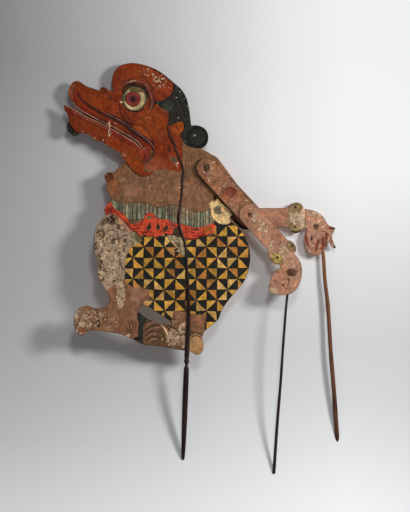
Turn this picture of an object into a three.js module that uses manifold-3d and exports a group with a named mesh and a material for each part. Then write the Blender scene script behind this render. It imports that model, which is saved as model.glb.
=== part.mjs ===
// A flat jointed shadow-theatre figure of painted rawhide, clamped in a split control rod.
// Millimetres, +Z up, the figure in the XZ plane with its painted front towards -Y.
// The origin is the foot of the control rod, where it is stuck into a stand.
import * as THREE from "three";
import { mergeVertices } from "three/addons/utils/BufferGeometryUtils.js";
import Module from "manifold-3d";

const wasm = await Module();
wasm.setup();

// Sheet thicknesses and the clearances between layers
const hideThickness = 2.8;
const jawThickness = 1.6;
const tuftThickness = 1.4;
const armThickness = 1.8;
const seatGap = 0.3;
const armStandoff = 4.4;

// Thongs that act as pivots
const shankRadius = 1.2;
const boreClearance = 0.3;
const spacerRadius = 3.2;
const shoulderHeadRadius = 4.2;
const elbowHeadRadius = 3.4;
const jawHeadRadius = 2.8;
const handKnotRadius = 4.6;
const outerHeadHeight = 1.2;
const innerHeadHeight = 0.7;

// Places of the pivots on the body sheet
const shoulder = new THREE.Vector2(35.2, 424.4);
const jawPivot = new THREE.Vector2(-54, 443);

// Arms: lengths between pivots, widths, and the directions at rest in degrees
const frontUpperLength = 91.3;
const frontUpperAngle = -47.1;
const frontForearmAngle = -47.5;
const frontArmWidth = 32;
const frontShoulderRadius = 15.5;
const frontKnot = new THREE.Vector2(103, -12);
const rearUpperLength = 91.3;
const rearUpperAngle = -51.3;
const rearForearmAngle = 0;
const rearShoulderRadius = 21.5;
const rearUpperWidth = 35;
const rearForearmWidth = 27.7;
const rearKnot = new THREE.Vector2(102, -13);

// Hand rods
const frontRodLength = 296.4;
const frontRodAngle = -95.1;
const frontRodTopWidth = 3.3;
const frontRodEndWidth = 4.8;
const rearRodLength = 327.8;
const rearRodAngle = -84.4;
const rearRodTopWidth = 5.1;
const rearRodEndWidth = 7;
const rodEyeRadius = 3.4;
const rodFlatThickness = 2;
const rodFlatLength = 46;
const rodTipLength = 4;
const rodDepthShare = 0.85;
const rodSides = 10;

// Control rod: a turned grip, then two prongs that hold the sheet between them
const slotFootZ = 157;
const collarZ = 141.5;
const handleTopZ = 137;
const handleRadius = 4.2;
const handleTilt = 2.1;
const footRadius = 1.5;
const waistRadius = 2.2;
const collarRadius = 3.8;
const collarNeckRadius = 3.1;
const prongSeatDepth = 5;
const prongRings = 44;
const prongFootThickness = 2.2;
const prongThickness = 1.6;
const prongThinZ = 233;

// Thread lashings that bind the prongs through slots in the sheet
const lashingHeights = [480, 463, 430, 412, 395, 312, 237];
const lashingThread = 0.9;
const lashingWidth = 3.5;

// Outlines are sampled at this spacing, and round holes with this many sides
const outlineSpacing = 5;
const boreSides = 20;

// Distances of the layers from the middle of the body sheet, the same in front and behind
const hideFace = hideThickness / 2;
const jawBack = hideFace + seatGap;
const jawFront = jawBack + jawThickness;
const upperBack = hideFace + armStandoff;
const upperFront = upperBack + armThickness;
const forearmBack = upperFront + seatGap;
const forearmFront = forearmBack + armThickness;
const boreRadius = shankRadius + boreClearance;
const prongInner = hideFace + seatGap;

// The two sides of the sheet: the painted front faces -Y
const FRONT = -1;
const REAR = 1;

const radians = THREE.MathUtils.degToRad;

// A unit vector in the plane of the figure
function heading(degrees) {
  return new THREE.Vector2(Math.cos(radians(degrees)), Math.sin(radians(degrees)));
}

// A point given in a limb's own frame, whose x axis runs along the limb from its pivot
function inLimb(pivot, degrees, [along, across]) {
  return new THREE.Vector2(along, across).rotateAround(new THREE.Vector2(), radians(degrees)).add(pivot);
}

// An outline of smooth runs that meet at corners: each run starts where the one before it ends
function outline(runs, start = runs.at(-1).at(-1)) {
  const points = [];
  runs.forEach((run, i) => {
    const before = i === 0 ? start : runs[i - 1].at(-1);
    const through = [before, ...run].map(([x, z]) => new THREE.Vector3(x, z, 0));
    const curve = new THREE.CatmullRomCurve3(through, false, "centripetal");
    const count = Math.max(run.length, Math.round(curve.getLength() / outlineSpacing));
    for (const p of curve.getSpacedPoints(count).slice(1)) {
      points.push(new THREE.Vector2(p.x, p.y));
    }
  });
  return points;
}

// A round hole in a sheet
function bore(centre, radius, sides = boreSides) {
  const path = new THREE.Path();
  path.absarc(centre.x, centre.y, radius, 0, 2 * Math.PI);
  return new THREE.Path(path.getPoints(sides / 2).slice(0, -1));
}

// A sheet cut to an outline in the XZ plane, between two depths along Y
function cutSheet(points, holes, nearY, farY) {
  const shape = new THREE.Shape(THREE.ShapeUtils.isClockWise(points) ? points.toReversed() : points);
  shape.holes = holes;
  const geometry = new THREE.ExtrudeGeometry(shape, {
    depth: Math.abs(farY - nearY),
    bevelEnabled: false,
    curveSegments: boreSides / 2,
  });
  return geometry.rotateX(Math.PI / 2).translate(0, Math.max(nearY, farY), 0);
}

// A turned piece whose axis runs along Y through a point of the figure; stations are [radius, y]
function turned(centre, stations, segments = boreSides) {
  const profile = stations.map(([radius, y]) => new THREE.Vector2(radius, y));
  return new THREE.LatheGeometry(profile, segments).translate(centre.x, 0, centre.y);
}

// A closed skin through rings of points, with a flat cap on each end
function loft(rings) {
  const sides = rings[0].length;
  const position = rings.flat().flatMap((p) => [p.x, p.y, p.z]);
  const index = [];
  for (let i = 0; i < rings.length - 1; i += 1) {
    for (let j = 0; j < sides; j += 1) {
      const a = i * sides + j;
      const b = i * sides + ((j + 1) % sides);
      index.push(a, b, b + sides, a, b + sides, a + sides);
    }
  }
  const last = (rings.length - 1) * sides;
  for (let j = 1; j < sides - 1; j += 1) {
    index.push(0, j + 1, j);
    index.push(last, last + j, last + j + 1);
  }
  const geometry = new THREE.BufferGeometry();
  geometry.setAttribute("position", new THREE.Float32BufferAttribute(position, 3));
  geometry.setIndex(index);
  return geometry;
}

// Solids for joins and cuts
function solid(geometry) {
  const bare = geometry.clone();
  bare.deleteAttribute("normal");
  bare.deleteAttribute("uv");
  const merged = mergeVertices(bare, 1e-4);
  return new wasm.Manifold(
    new wasm.Mesh({
      numProp: 3,
      vertProperties: merged.attributes.position.array,
      triVerts: new Uint32Array(merged.index.array),
    }),
  );
}

function geometryOf(manifold) {
  const mesh = manifold.getMesh();
  const geometry = new THREE.BufferGeometry();
  geometry.setAttribute("position", new THREE.Float32BufferAttribute(mesh.vertProperties, 3));
  geometry.setIndex(Array.from(mesh.triVerts));
  return geometry;
}

// Finishes
function finish(colour, roughness) {
  return new THREE.MeshStandardMaterial({ color: colour, roughness, metalness: 0 });
}
const paintedBrown = finish(0x8c5a45, 0.75);
const paintedRed = finish(0x9c4028, 0.7);
const darkTuft = finish(0x23201d, 0.85);
const darkRod = finish(0x35190f, 0.4);
const brownRod = finish(0x6e4128, 0.45);
const thongHide = finish(0x6b4a32, 0.8);
const thread = finish(0x2c2019, 0.9);

const puppet = new THREE.Group();

function add(name, geometry, material) {
  const mesh = new THREE.Mesh(geometry, material);
  mesh.name = name;
  puppet.add(mesh);
}

// The control rod's line up the back of the figure, and its width along it
const rodLine = [
  [5.8, slotFootZ],
  [7, 182],
  [8, 207],
  [8, 233],
  [7, 259],
  [5.4, 284],
  [4.6, 303],
  [2, 319],
  [-3, 333],
  [-6, 347],
  [-5.8, 358],
  [-4, 370],
  [-2, 383],
  [-1, 397],
  [-0.6, 411],
  [1, 420],
  [-2, 432],
  [-9, 448],
  [-15, 463],
  [-19, 471],
  [-23, 488],
];
const rodCurve = new THREE.CatmullRomCurve3(
  rodLine.map(([x, z]) => new THREE.Vector3(x, 0, z)),
  false,
  "centripetal",
);
const prongWidths = [
  [slotFootZ, 6.8],
  [182, 6.3],
  [233, 5.1],
  [306, 3.6],
  [364, 2.9],
  [488, 2.5],
];

// A value read between [place, value] pairs
function between(pairs, place) {
  const after = pairs.findIndex(([at]) => at >= place);
  if (after <= 0) return pairs[after === 0 ? 0 : pairs.length - 1][1];
  const [low, from] = pairs[after - 1];
  const [high, to] = pairs[after];
  return THREE.MathUtils.mapLinear(place, low, high, from, to);
}

function prongDepth(z) {
  const share = THREE.MathUtils.smoothstep(z, slotFootZ, prongThinZ);
  return THREE.MathUtils.lerp(prongFootThickness, prongThickness, share);
}

// The place, direction and sideways direction of the rod at a height
function rodAt(z) {
  let low = 0;
  let high = 1;
  for (let i = 0; i < 30; i += 1) {
    const middle = (low + high) / 2;
    if (rodCurve.getPoint(middle).z < z) low = middle;
    else high = middle;
  }
  const along = rodCurve.getTangent(low);
  return { place: rodCurve.getPoint(low), along, across: new THREE.Vector3(along.z, 0, -along.x) };
}

// Body sheet: head, torso, hip cloth and feet are one piece of rawhide
const bodyOutline = outline([
  [[-167, 533], [-166, 540], [-162, 548], [-155, 552], [-149, 550], [-142, 545], [-131, 541], [-122, 538]],
  [[-120, 542], [-114, 543], [-108, 538], [-101, 536]],
  [
    [-103, 544], [-103, 556], [-99, 567], [-91, 574], [-82, 577], [-73, 578], [-60, 576], [-47, 572],
    [-33, 565], [-13, 549], [-2, 539], [5, 527], [9, 510], [12, 487],
  ],
  [[22, 487], [33, 481], [37, 470], [34, 459], [27, 453]],
  [[38, 447], [49, 438], [55, 424], [54, 408], [46, 387]],
  [[43, 377], [47, 377]],
  [[50, 382], [56, 375], [68, 365], [73, 358]],
  [[69, 354], [68, 350], [74, 344]],
  [
    [87, 331], [96, 311], [98, 295], [95, 276], [89, 260], [77, 245], [65, 231], [56, 217], [52, 206],
    [43, 197], [31, 187],
  ],
  [[28, 178], [30, 164], [27, 156], [20, 153], [11, 158]],
  [[-9, 161], [-32, 165], [-57, 168], [-74, 176]],
  [[-94, 184], [-118, 187], [-133, 189]],
  [[-138, 187], [-146, 181], [-154, 184], [-158, 193], [-159, 204], [-156, 214], [-149, 222], [-139, 225]],
  [
    [-128, 221], [-116, 222], [-109, 227], [-107, 235], [-110, 243], [-120, 259], [-125, 272], [-124, 287],
    [-129, 305], [-130, 325], [-124, 342], [-113, 356],
  ],
  [[-115, 366], [-111, 371], [-104, 381]],
  [[-110, 393], [-112, 405], [-115, 413], [-111, 418], [-100, 419]],
  [[-94, 426], [-84, 433], [-70, 441], [-60, 457]],
  [[-77, 468.3], [-100, 483.1], [-123, 493.2], [-149, 508.3], [-157, 515.6], [-161, 522]],
]);
const legGap = outline([
  [[-61, 225], [-50, 223], [-35, 213], [-18, 202]],
  [[-20, 198], [-33, 198], [-49, 205], [-60, 212], [-66, 218]],
]);
const hipHole = new THREE.Vector2(-91, 285);
const hipHoleRadius = 1.9;

// Two slots for each lashing, one on either side of the rod
function lashingSlots(z) {
  const { place, along, across } = rodAt(z);
  const inner = between(prongWidths, z) / 2;
  const outer = inner + 2 * seatGap + lashingThread + seatGap;
  const half = lashingWidth / 2 + seatGap;
  return [-1, 1].map((side) => {
    const corners = [[inner, -half], [outer, -half], [outer, half], [inner, half]];
    return new THREE.Path(
      corners.map(([out, up]) => {
        const p = place.clone().addScaledVector(across, side * out).addScaledVector(along, up);
        return new THREE.Vector2(p.x, p.z);
      }),
    );
  });
}

const bodyHoles = [
  new THREE.Path(legGap),
  bore(hipHole, hipHoleRadius),
  bore(shoulder, boreRadius),
  bore(jawPivot, boreRadius),
  ...lashingHeights.flatMap(lashingSlots),
];
add("body_sheet", cutSheet(bodyOutline, bodyHoles, -hideFace, hideFace), paintedBrown);

// Lower jaw, a sheet of its own in front of the head, with a tuft behind its chin
const jawOutline = outline([
  [
    [-160, 511.4], [-149, 505.6], [-137, 498.8], [-123, 492.8], [-99, 480], [-72, 464.8], [-62, 456.6],
    [-51, 453], [-44, 447],
  ],
  [[-49, 438], [-55, 431], [-56, 425], [-53, 420], [-48, 419], [-43, 421]],
  [[-45, 416], [-52, 413], [-59, 413], [-68, 417], [-76, 425], [-84, 435], [-92, 447]],
  [[-102, 453], [-110, 457]],
  [[-118, 463], [-128, 465]],
  [[-134, 471], [-142, 475], [-155, 477]],
  [[-162, 485], [-166, 493], [-167, 501], [-172, 509], [-173, 517]],
]);
add(
  "lower_jaw",
  cutSheet(jawOutline, [bore(jawPivot, boreRadius)], -jawFront, -jawBack),
  paintedRed,
);
const tuftOutline = outline([
  [[-169, 487], [-169, 481], [-164, 475], [-157, 471], [-151, 474]],
  [[-148, 482], [-154, 491], [-160, 494], [-167, 492]],
]);
const tuftFront = -jawBack + seatGap;
add("chin_tuft", cutSheet(tuftOutline, [], tuftFront, tuftFront + tuftThickness), darkTuft);

// An upper arm: a straight strip with a round end about each pivot
function upperArm(length, degrees, shoulderRadius, width, side) {
  const shape = new THREE.Path();
  shape.absarc(0, 0, shoulderRadius, Math.PI / 2, (3 * Math.PI) / 2);
  shape.absarc(length, 0, width / 2, -Math.PI / 2, Math.PI / 2);
  const points = shape.getPoints(boreSides / 2).map((p) => inLimb(shoulder, degrees, [p.x, p.y]));
  const elbow = inLimb(shoulder, degrees, [length, 0]);
  const holes = [bore(shoulder, boreRadius), bore(elbow, boreRadius)];
  return { elbow, geometry: cutSheet(points, holes, side * upperBack, side * upperFront) };
}

// A forearm with its hand: a round elbow end, a straight strip, then the wrist and hand outline
function forearm(elbow, degrees, width, wristRuns, knot, side) {
  const end = new THREE.Path();
  end.absarc(0, 0, width / 2, Math.PI / 2, (3 * Math.PI) / 2);
  const back = end.getPoints(boreSides / 2).map((p) => [p.x, p.y]);
  const hand = outline(wristRuns, back.at(-1)).map((p) => [p.x, p.y]);
  const points = [...back, ...hand.slice(0, -1)].map((p) => inLimb(elbow, degrees, p));
  const holes = [
    bore(elbow, boreRadius),
    bore(inLimb(elbow, degrees, knot.toArray()), boreRadius),
  ];
  return cutSheet(points, holes, side * forearmBack, side * forearmFront);
}

const frontUpper = upperArm(frontUpperLength, frontUpperAngle, frontShoulderRadius, frontArmWidth, FRONT);
add("front_upper_arm", frontUpper.geometry, paintedBrown);
const rearUpper = upperArm(rearUpperLength, rearUpperAngle, rearShoulderRadius, rearUpperWidth, REAR);
add("rear_upper_arm", rearUpper.geometry, paintedBrown);

// The front hand is a fist below a bracelet with a bead on each edge
const frontHand = [
  [[56, -frontArmWidth / 2]],
  [[61, -20], [68, -23], [76, -23], [83, -18]],
  [[87, -21], [85, -28], [88, -38], [96, -52]],
  [[103, -55], [113, -50], [122, -40], [126, -30], [123, -15], [114, -2], [105, 5], [97, 8], [86, 9]],
  [[83, 15], [77, 18], [70, 18], [64, 15]],
  [[0, frontArmWidth / 2]],
];
add(
  "front_forearm",
  forearm(frontUpper.elbow, frontForearmAngle, frontArmWidth, frontHand, frontKnot, FRONT),
  paintedBrown,
);

// The rear hand is open, with two long fingertips
const rearHand = [
  [[62, -rearForearmWidth / 2]],
  [[64, -19], [72, -23], [79, -20], [83, -15]],
  [[87, -14], [88, -19], [84, -29], [86, -40], [88, -49]],
  [[93, -52], [99, -56], [107, -54], [114, -47], [120, -35]],
  [[124, -42], [129, -46], [131, -44]],
  [[127, -35], [125, -26], [128, -20], [130, -15]],
  [[122, -12], [119, -10], [114, -1], [108, 5], [99, 10], [84, 13]],
  [[80, 20], [72, 22], [64, 19], [59, rearForearmWidth / 2]],
  [[0, rearForearmWidth / 2]],
];
add(
  "rear_forearm",
  forearm(rearUpper.elbow, rearForearmAngle, rearForearmWidth, rearHand, rearKnot, REAR),
  paintedBrown,
);

// Half of a thong from one head inwards: [radius, distance] pairs with a rounded head
function head(radius, seat, height) {
  return [
    [0, seat + height],
    [radius * 0.7, seat + height],
    [radius, seat + height * 0.5],
    [radius * 0.85, seat],
    [shankRadius, seat],
  ];
}

// A thong with a head at each end and spacers in the gaps between sheets
function thong(centre, frontHead, rearHead, spacers = []) {
  const stations = frontHead.map(([radius, depth]) => [radius, -depth]);
  for (const [from, to] of spacers) {
    stations.push([shankRadius, from], [spacerRadius, from], [spacerRadius, to], [shankRadius, to]);
  }
  stations.push(...rearHead.toReversed());
  return turned(centre, stations);
}

// A head that points to the front although its seat is measured from the middle of the sheet
function mirrored(stations) {
  return stations.map(([radius, depth]) => [radius, -depth]);
}

add(
  "shoulder_thong",
  thong(
    shoulder,
    head(shoulderHeadRadius, upperFront + seatGap, outerHeadHeight),
    head(shoulderHeadRadius, upperFront + seatGap, outerHeadHeight),
    [
      [-(upperBack - seatGap), -(hideFace + seatGap)],
      [hideFace + seatGap, upperBack - seatGap],
    ],
  ),
  thongHide,
);
add(
  "jaw_pin",
  thong(
    jawPivot,
    head(jawHeadRadius, jawFront + seatGap, innerHeadHeight),
    head(jawHeadRadius, hideFace + seatGap, outerHeadHeight),
  ),
  thongHide,
);

// Elbow and hand thongs have their inner head between the limb and the body sheet
const innerSeat = -(upperBack - seatGap);
const elbowStations = (radius) => [
  ...mirrored(head(radius, forearmFront + seatGap, outerHeadHeight)),
  ...head(radius, innerSeat, innerHeadHeight).toReversed(),
];
add("front_elbow_thong", turned(frontUpper.elbow, elbowStations(elbowHeadRadius)), thongHide);
add(
  "rear_elbow_thong",
  turned(rearUpper.elbow, mirrored(elbowStations(elbowHeadRadius)).toReversed()),
  thongHide,
);

// A hand rod hangs from the hand's knot: flat and thin behind the hand, then round towards its end
function handRod(knot, degrees, length, bow, topWidth, endWidth, seat, side) {
  const along = heading(degrees);
  const sideways = new THREE.Vector2(-along.y, along.x);
  const stations = [0, 15, 30, rodFlatLength, 70, 110, 150, 190, 230, 270]
    .filter((s) => s < length - 2 * rodTipLength)
    .concat([length - rodTipLength, length - rodTipLength / 4, length]);
  const rings = stations.map((s) => {
    const left = length - s;
    const tip = left >= rodTipLength ? 1 : THREE.MathUtils.lerp(0.35, 0.9, left / rodTipLength);
    const width = THREE.MathUtils.mapLinear(s, 0, length, topWidth, endWidth);
    const round = THREE.MathUtils.smoothstep(s, rodFlatLength, 2 * rodFlatLength);
    const depth = THREE.MathUtils.lerp(rodFlatThickness, width * rodDepthShare, round);
    const middle = side * (seat + depth / 2);
    const at = knot.clone().addScaledVector(along, s).addScaledVector(sideways, between(bow, s));
    return Array.from({ length: rodSides }, (_, i) => {
      const turn = (-(i + 0.5) / rodSides) * 2 * Math.PI;
      const out = (Math.cos(turn) * width * tip) / 2;
      const deep = (Math.sin(turn) * depth * tip) / 2;
      return new THREE.Vector3(at.x + sideways.x * out, middle + deep, at.y + sideways.y * out);
    });
  });
  const faces = [side * seat, side * (seat + rodFlatThickness)].sort((a, b) => a - b);
  const eye = turned(knot, [
    [0, faces[0]],
    [rodEyeRadius, faces[0]],
    [rodEyeRadius, faces[1]],
    [0, faces[1]],
  ]);
  const reach = 2 * faces[1] - faces[0];
  const drill = turned(knot, [
    [0, faces[0] - rodFlatThickness],
    [boreRadius, faces[0] - rodFlatThickness],
    [boreRadius, reach],
    [0, reach],
  ]);
  return geometryOf(solid(loft(rings)).add(solid(eye)).subtract(solid(drill)));
}

// Sideways bow of each rod from a straight line, as [distance along, offset]
const frontBow = [[0, 0], [33, -3.3], [100, -3.2], [160, -2], [216, -1.6], [frontRodLength, 0]];
const rearBow = [[0, 0], [35, 6], [80, 5.4], [115, 6], [190, 3.5], [245, 2.6], [rearRodLength, 0]];
const frontKnotAt = inLimb(frontUpper.elbow, frontForearmAngle, frontKnot.toArray());
const rearKnotAt = inLimb(rearUpper.elbow, rearForearmAngle, rearKnot.toArray());
add(
  "front_hand_rod",
  handRod(
    frontKnotAt, frontRodAngle, frontRodLength, frontBow, frontRodTopWidth, frontRodEndWidth,
    forearmBack - seatGap - rodFlatThickness, FRONT,
  ),
  darkRod,
);
add(
  "rear_hand_rod",
  handRod(
    rearKnotAt, rearRodAngle, rearRodLength, rearBow, rearRodTopWidth, rearRodEndWidth,
    forearmFront + seatGap, REAR,
  ),
  brownRod,
);
add("front_hand_tie", turned(frontKnotAt, elbowStations(handKnotRadius)), thongHide);
const rearTieInner = -(forearmBack - seatGap);
const rearTieOuter = forearmFront + 2 * seatGap + rodFlatThickness;
add(
  "rear_hand_tie",
  turned(rearKnotAt, [
    ...head(elbowHeadRadius, rearTieInner, innerHeadHeight).map(([radius, depth]) => [radius, -depth]),
    ...head(handKnotRadius, rearTieOuter, outerHeadHeight).toReversed(),
  ]),
  thongHide,
);

// The grip: a pointed foot, a long handle, a waist, then a collar under the slot
const collarHeight = slotFootZ - collarZ;
const gripProfile = [
  [0, 0],
  [footRadius, footRadius / 4],
  [handleRadius * 0.57, handleTopZ * 0.022],
  [handleRadius * 0.67, handleTopZ * 0.058],
  [handleRadius * 0.81, handleTopZ * 0.146],
  [handleRadius * 0.94, handleTopZ * 0.32],
  [handleRadius, handleTopZ * 0.63],
  [handleRadius * 0.95, handleTopZ * 0.97],
  [handleRadius * 0.86, handleTopZ],
  [waistRadius, THREE.MathUtils.lerp(handleTopZ, collarZ, 0.33)],
  [waistRadius, THREE.MathUtils.lerp(handleTopZ, collarZ, 0.78)],
  [collarRadius * 0.92, collarZ],
  [collarRadius, collarZ + collarHeight * 0.16],
  [collarNeckRadius, collarZ + collarHeight * 0.39],
  [collarNeckRadius, collarZ + collarHeight * 0.48],
  [collarRadius * 0.97, collarZ + collarHeight * 0.65],
  [collarRadius * 0.95, collarZ + collarHeight * 0.9],
  [collarRadius * 0.79, slotFootZ],
  [0, slotFootZ],
];
const grip = new THREE.LatheGeometry(gripProfile.map(([r, z]) => new THREE.Vector2(r, z)), boreSides)
  .rotateX(Math.PI / 2)
  .rotateY(radians(handleTilt));

// A prong lies against one face of the sheet: flat inside, rounded outside
function prong(side) {
  const top = rodLine.at(-1)[1];
  const foot = slotFootZ - prongSeatDepth;
  const rings = Array.from({ length: prongRings + 1 }, (_, i) => {
    const z = THREE.MathUtils.lerp(slotFootZ, top, i / prongRings);
    const { place, across } = rodAt(z);
    const half = between(prongWidths, z) / 2;
    const depth = prongDepth(z);
    const section = [[-1, 0], [1, 0], [1, 0.45], [0.6, 1], [-0.6, 1], [-1, 0.45]];
    const inner = i === 0 ? foot : place.z;
    return section.map(
      ([out, deep]) =>
        new THREE.Vector3(
          place.x + across.x * half * out,
          side * (prongInner + depth * deep),
          inner + across.z * half * out,
        ),
    );
  });
  return loft(side === REAR ? rings : rings.map((ring) => ring.toReversed()));
}
add("control_rod", geometryOf(solid(grip).add(solid(prong(FRONT))).add(solid(prong(REAR)))), darkRod);

// A lashing: thread wound round both prongs, as one band with rounded corners
function lashing(z) {
  const { place, along, across } = rodAt(z);
  const half = between(prongWidths, z) / 2 + seatGap;
  const deep = prongInner + prongDepth(z) + seatGap;
  const ring = roundedBox(half + lashingThread, deep + lashingThread, lashingThread);
  ring.holes = [roundedBox(half, deep, lashingThread / 3)];
  const geometry = new THREE.ExtrudeGeometry(ring, {
    depth: lashingWidth,
    bevelEnabled: false,
    curveSegments: 3,
  });
  geometry.translate(0, 0, -lashingWidth / 2);
  const basis = new THREE.Matrix4().makeBasis(across, new THREE.Vector3(0, 1, 0), along);
  return geometry.applyMatrix4(basis.setPosition(place));
}

// A box outline with rounded corners, half as wide and half as deep as given
function roundedBox(half, deep, corner) {
  const shape = new THREE.Shape();
  shape.absarc(half - corner, deep - corner, corner, 0, Math.PI / 2);
  shape.absarc(corner - half, deep - corner, corner, Math.PI / 2, Math.PI);
  shape.absarc(corner - half, corner - deep, corner, Math.PI, 1.5 * Math.PI);
  shape.absarc(half - corner, corner - deep, corner, 1.5 * Math.PI, 2 * Math.PI);
  return shape;
}
lashingHeights.forEach((z, i) => add(`rod_lashing_${i + 1}`, lashing(z), thread));

export default puppet;
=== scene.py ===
"""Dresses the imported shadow-theatre figure: painted rawhide, knotted thongs, thread and polished rods."""

import logging
import math
from dataclasses import dataclass, field
from enum import Enum

import bpy
import numpy as np
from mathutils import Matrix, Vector, noise
from mathutils.geometry import delaunay_2d_cdt


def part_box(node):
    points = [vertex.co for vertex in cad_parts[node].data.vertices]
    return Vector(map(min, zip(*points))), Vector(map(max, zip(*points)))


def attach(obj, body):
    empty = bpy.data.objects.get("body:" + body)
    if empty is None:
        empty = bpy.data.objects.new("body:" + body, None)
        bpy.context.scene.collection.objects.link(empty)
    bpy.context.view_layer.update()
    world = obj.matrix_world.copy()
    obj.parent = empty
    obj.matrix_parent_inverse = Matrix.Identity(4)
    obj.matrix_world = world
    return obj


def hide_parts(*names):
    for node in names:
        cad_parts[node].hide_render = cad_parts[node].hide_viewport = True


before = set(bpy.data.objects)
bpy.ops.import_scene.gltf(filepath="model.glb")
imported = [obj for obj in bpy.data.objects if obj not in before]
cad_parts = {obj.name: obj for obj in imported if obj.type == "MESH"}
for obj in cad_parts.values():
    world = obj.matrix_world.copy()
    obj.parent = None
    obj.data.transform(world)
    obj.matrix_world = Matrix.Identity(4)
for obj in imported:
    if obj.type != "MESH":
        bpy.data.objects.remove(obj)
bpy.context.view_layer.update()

log = logging.getLogger("shadow_figure")

# Millimetres to metres
MM = 0.001

# How far a painted line strays, and over what distance, in millimetres
HAND_SHIFT = 0.45
HAND_WAVE = 6

# How far apart the points of cut edges and painted outlines are, in millimetres
EDGE_STEP = 1.6

# The turn in degrees from which a point of a line is a corner
CORNER = 52

# How uneven a stroke's width is, as a share, and how fast it grows to its full width along its length
BRUSH_UNEVEN = 0.55
BRUSH_ENDS = 7

# How far wear and tint reach, by their spot's radius, and over what share of it they fade
SPOT_REACH = 1.2
SPOT_FADE = 0.6

Point = tuple[float, float]
Points = list[Point]
Tones = tuple[Point, ...]
Faces = list[list[int]]
Skin = tuple[np.ndarray, Faces]


class Side(Enum):
    """The painted front, which faces -Y, and the back."""

    FRONT = -1
    REAR = 1


@dataclass(frozen=True)
class Paint:
    """A paint or bare surface of the hide, as it looks in plain light.

    Attributes:
        red: Its red, from 0 to 255.
        green: Its green.
        blue: Its blue.
    """

    red: int
    green: int
    blue: int

    @property
    def linear(self) -> tuple[float, float, float]:
        """The colour in the linear light that shaders work in."""
        return tuple(to_linear(c / 255) for c in (self.red, self.green, self.blue))


def to_linear(c: float) -> float:
    """One sRGB channel from 0 to 1 in linear light."""
    return c / 12.92 if c <= 0.04045 else ((c + 0.055) / 1.055) ** 2.4


def shade(red: int, green: int, blue: int) -> tuple[float, float, float, float]:
    """An sRGB colour in bytes as a shader socket takes it."""
    return (*Paint(red, green, blue).linear, 1.0)


# The paints

FACE = Paint(122, 45, 8)
FACE_DEEP = Paint(84, 29, 12)
FACE_LIGHT = Paint(150, 67, 12)
LIP = Paint(118, 33, 12)
MAUVE = Paint(120, 84, 82)
INK = Paint(27, 17, 13)
CREAM = Paint(214, 178, 142)
EYE_WHITE = Paint(184, 160, 114)
EYE_OLIVE = Paint(98, 84, 50)
IRIS = Paint(134, 46, 36)
IRIS_DEEP = Paint(104, 44, 46)
PUPIL = Paint(44, 22, 20)
HAIR = Paint(38, 37, 29)
HAIR_BLACK = Paint(19, 18, 15)
HAIR_GREY = Paint(66, 74, 64)
TORSO = Paint(122, 86, 57)
TORSO_PINK = Paint(148, 103, 79)
NIPPLE = Paint(58, 36, 22)
BELT_PALE = Paint(156, 150, 120)
BELT_GREEN = Paint(92, 98, 76)
BELT_DARK = Paint(48, 54, 42)
SASH = Paint(196, 72, 44)
SASH_DEEP = Paint(128, 36, 22)
SASH_GREEN = Paint(66, 50, 32)
OLIVE = Paint(98, 88, 56)
TAIL = Paint(150, 136, 106)
PINK = Paint(186, 138, 108)
OCHRE = Paint(196, 146, 58)
OCHRE_PALE = Paint(204, 160, 88)
OCHRE_DEEP = Paint(178, 118, 52)
CHECK_BLACK = Paint(31, 31, 27)
KNOT = Paint(212, 178, 124)
SMUDGE = Paint(118, 106, 82)
OLD_GROUND = Paint(156, 132, 110)
OLD_BROWN = Paint(96, 74, 56)
LEG = Paint(134, 93, 66)
STRIP = Paint(46, 47, 42)
REAR_FOOT = Paint(98, 72, 48)
HEEL = Paint(172, 130, 86)
ARM = Paint(147, 99, 70)
FOREARM = Paint(166, 118, 92)
HAND = Paint(168, 122, 98)
ARMLET = Paint(132, 56, 34)
MARGIN = Paint(112, 82, 58)
GOLD = Paint(172, 148, 84)
GOLD_DARK = Paint(96, 78, 40)
BAND = Paint(192, 164, 138)
GOLD_BROWN = Paint(136, 112, 76)
BARE = Paint(205, 172, 136)
CUT_EDGE = Paint(128, 96, 66)


# Lines and areas in the plane of the figure, in millimetres


def resample(line: np.ndarray, spacing: float) -> np.ndarray:
    """Points spread evenly along a line.

    Args:
        line: The line's points.
        spacing: The distance wanted between points.

    Returns:
        The new points, both ends included.
    """
    steps = np.linalg.norm(np.diff(line, axis=0), axis=1)
    at = np.concatenate([[0], np.cumsum(steps)])
    count = max(1, round(at[-1] / spacing))
    wanted = np.linspace(0, at[-1], count + 1)
    return np.column_stack([np.interp(wanted, at, line[:, k]) for k in range(line.shape[1])])


def spline(points: np.ndarray, closed: bool, steps: int = 10) -> np.ndarray:
    """A smooth curve through points, which doesn't overshoot where they lie close together.

    Args:
        points: The points that it passes through.
        closed: Whether it returns to its start.
        steps: How many pieces each stretch has.

    Returns:
        The curve's points; a closed one repeats its start at its end.
    """
    if closed:
        around = np.vstack([points[-1:], points, points[:2]])
    else:
        around = np.vstack([2 * points[:1] - points[1:2], points, 2 * points[-1:] - points[-2:-1]])
    out = []
    for p0, p1, p2, p3 in zip(around, around[1:], around[2:], around[3:], strict=False):
        gaps = [max(np.linalg.norm(b - a) ** 0.5, 1e-4) for a, b in ((p0, p1), (p1, p2), (p2, p3))]
        t1, t2, t3 = np.cumsum(gaps)
        t = np.linspace(t1, t2, steps, endpoint=False)[:, None]
        a1 = (t1 - t) / t1 * p0 + t / t1 * p1
        a2 = (t2 - t) / (t2 - t1) * p1 + (t - t1) / (t2 - t1) * p2
        a3 = (t3 - t) / (t3 - t2) * p2 + (t - t2) / (t3 - t2) * p3
        b1 = (t2 - t) / t2 * a1 + t / t2 * a2
        b2 = (t3 - t) / (t3 - t1) * a2 + (t - t1) / (t3 - t1) * a3
        out.append((t2 - t) / (t2 - t1) * b1 + (t - t1) / (t2 - t1) * b2)
    out.append(around[-2][None] if not closed else points[:1])
    return np.vstack(out)


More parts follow.
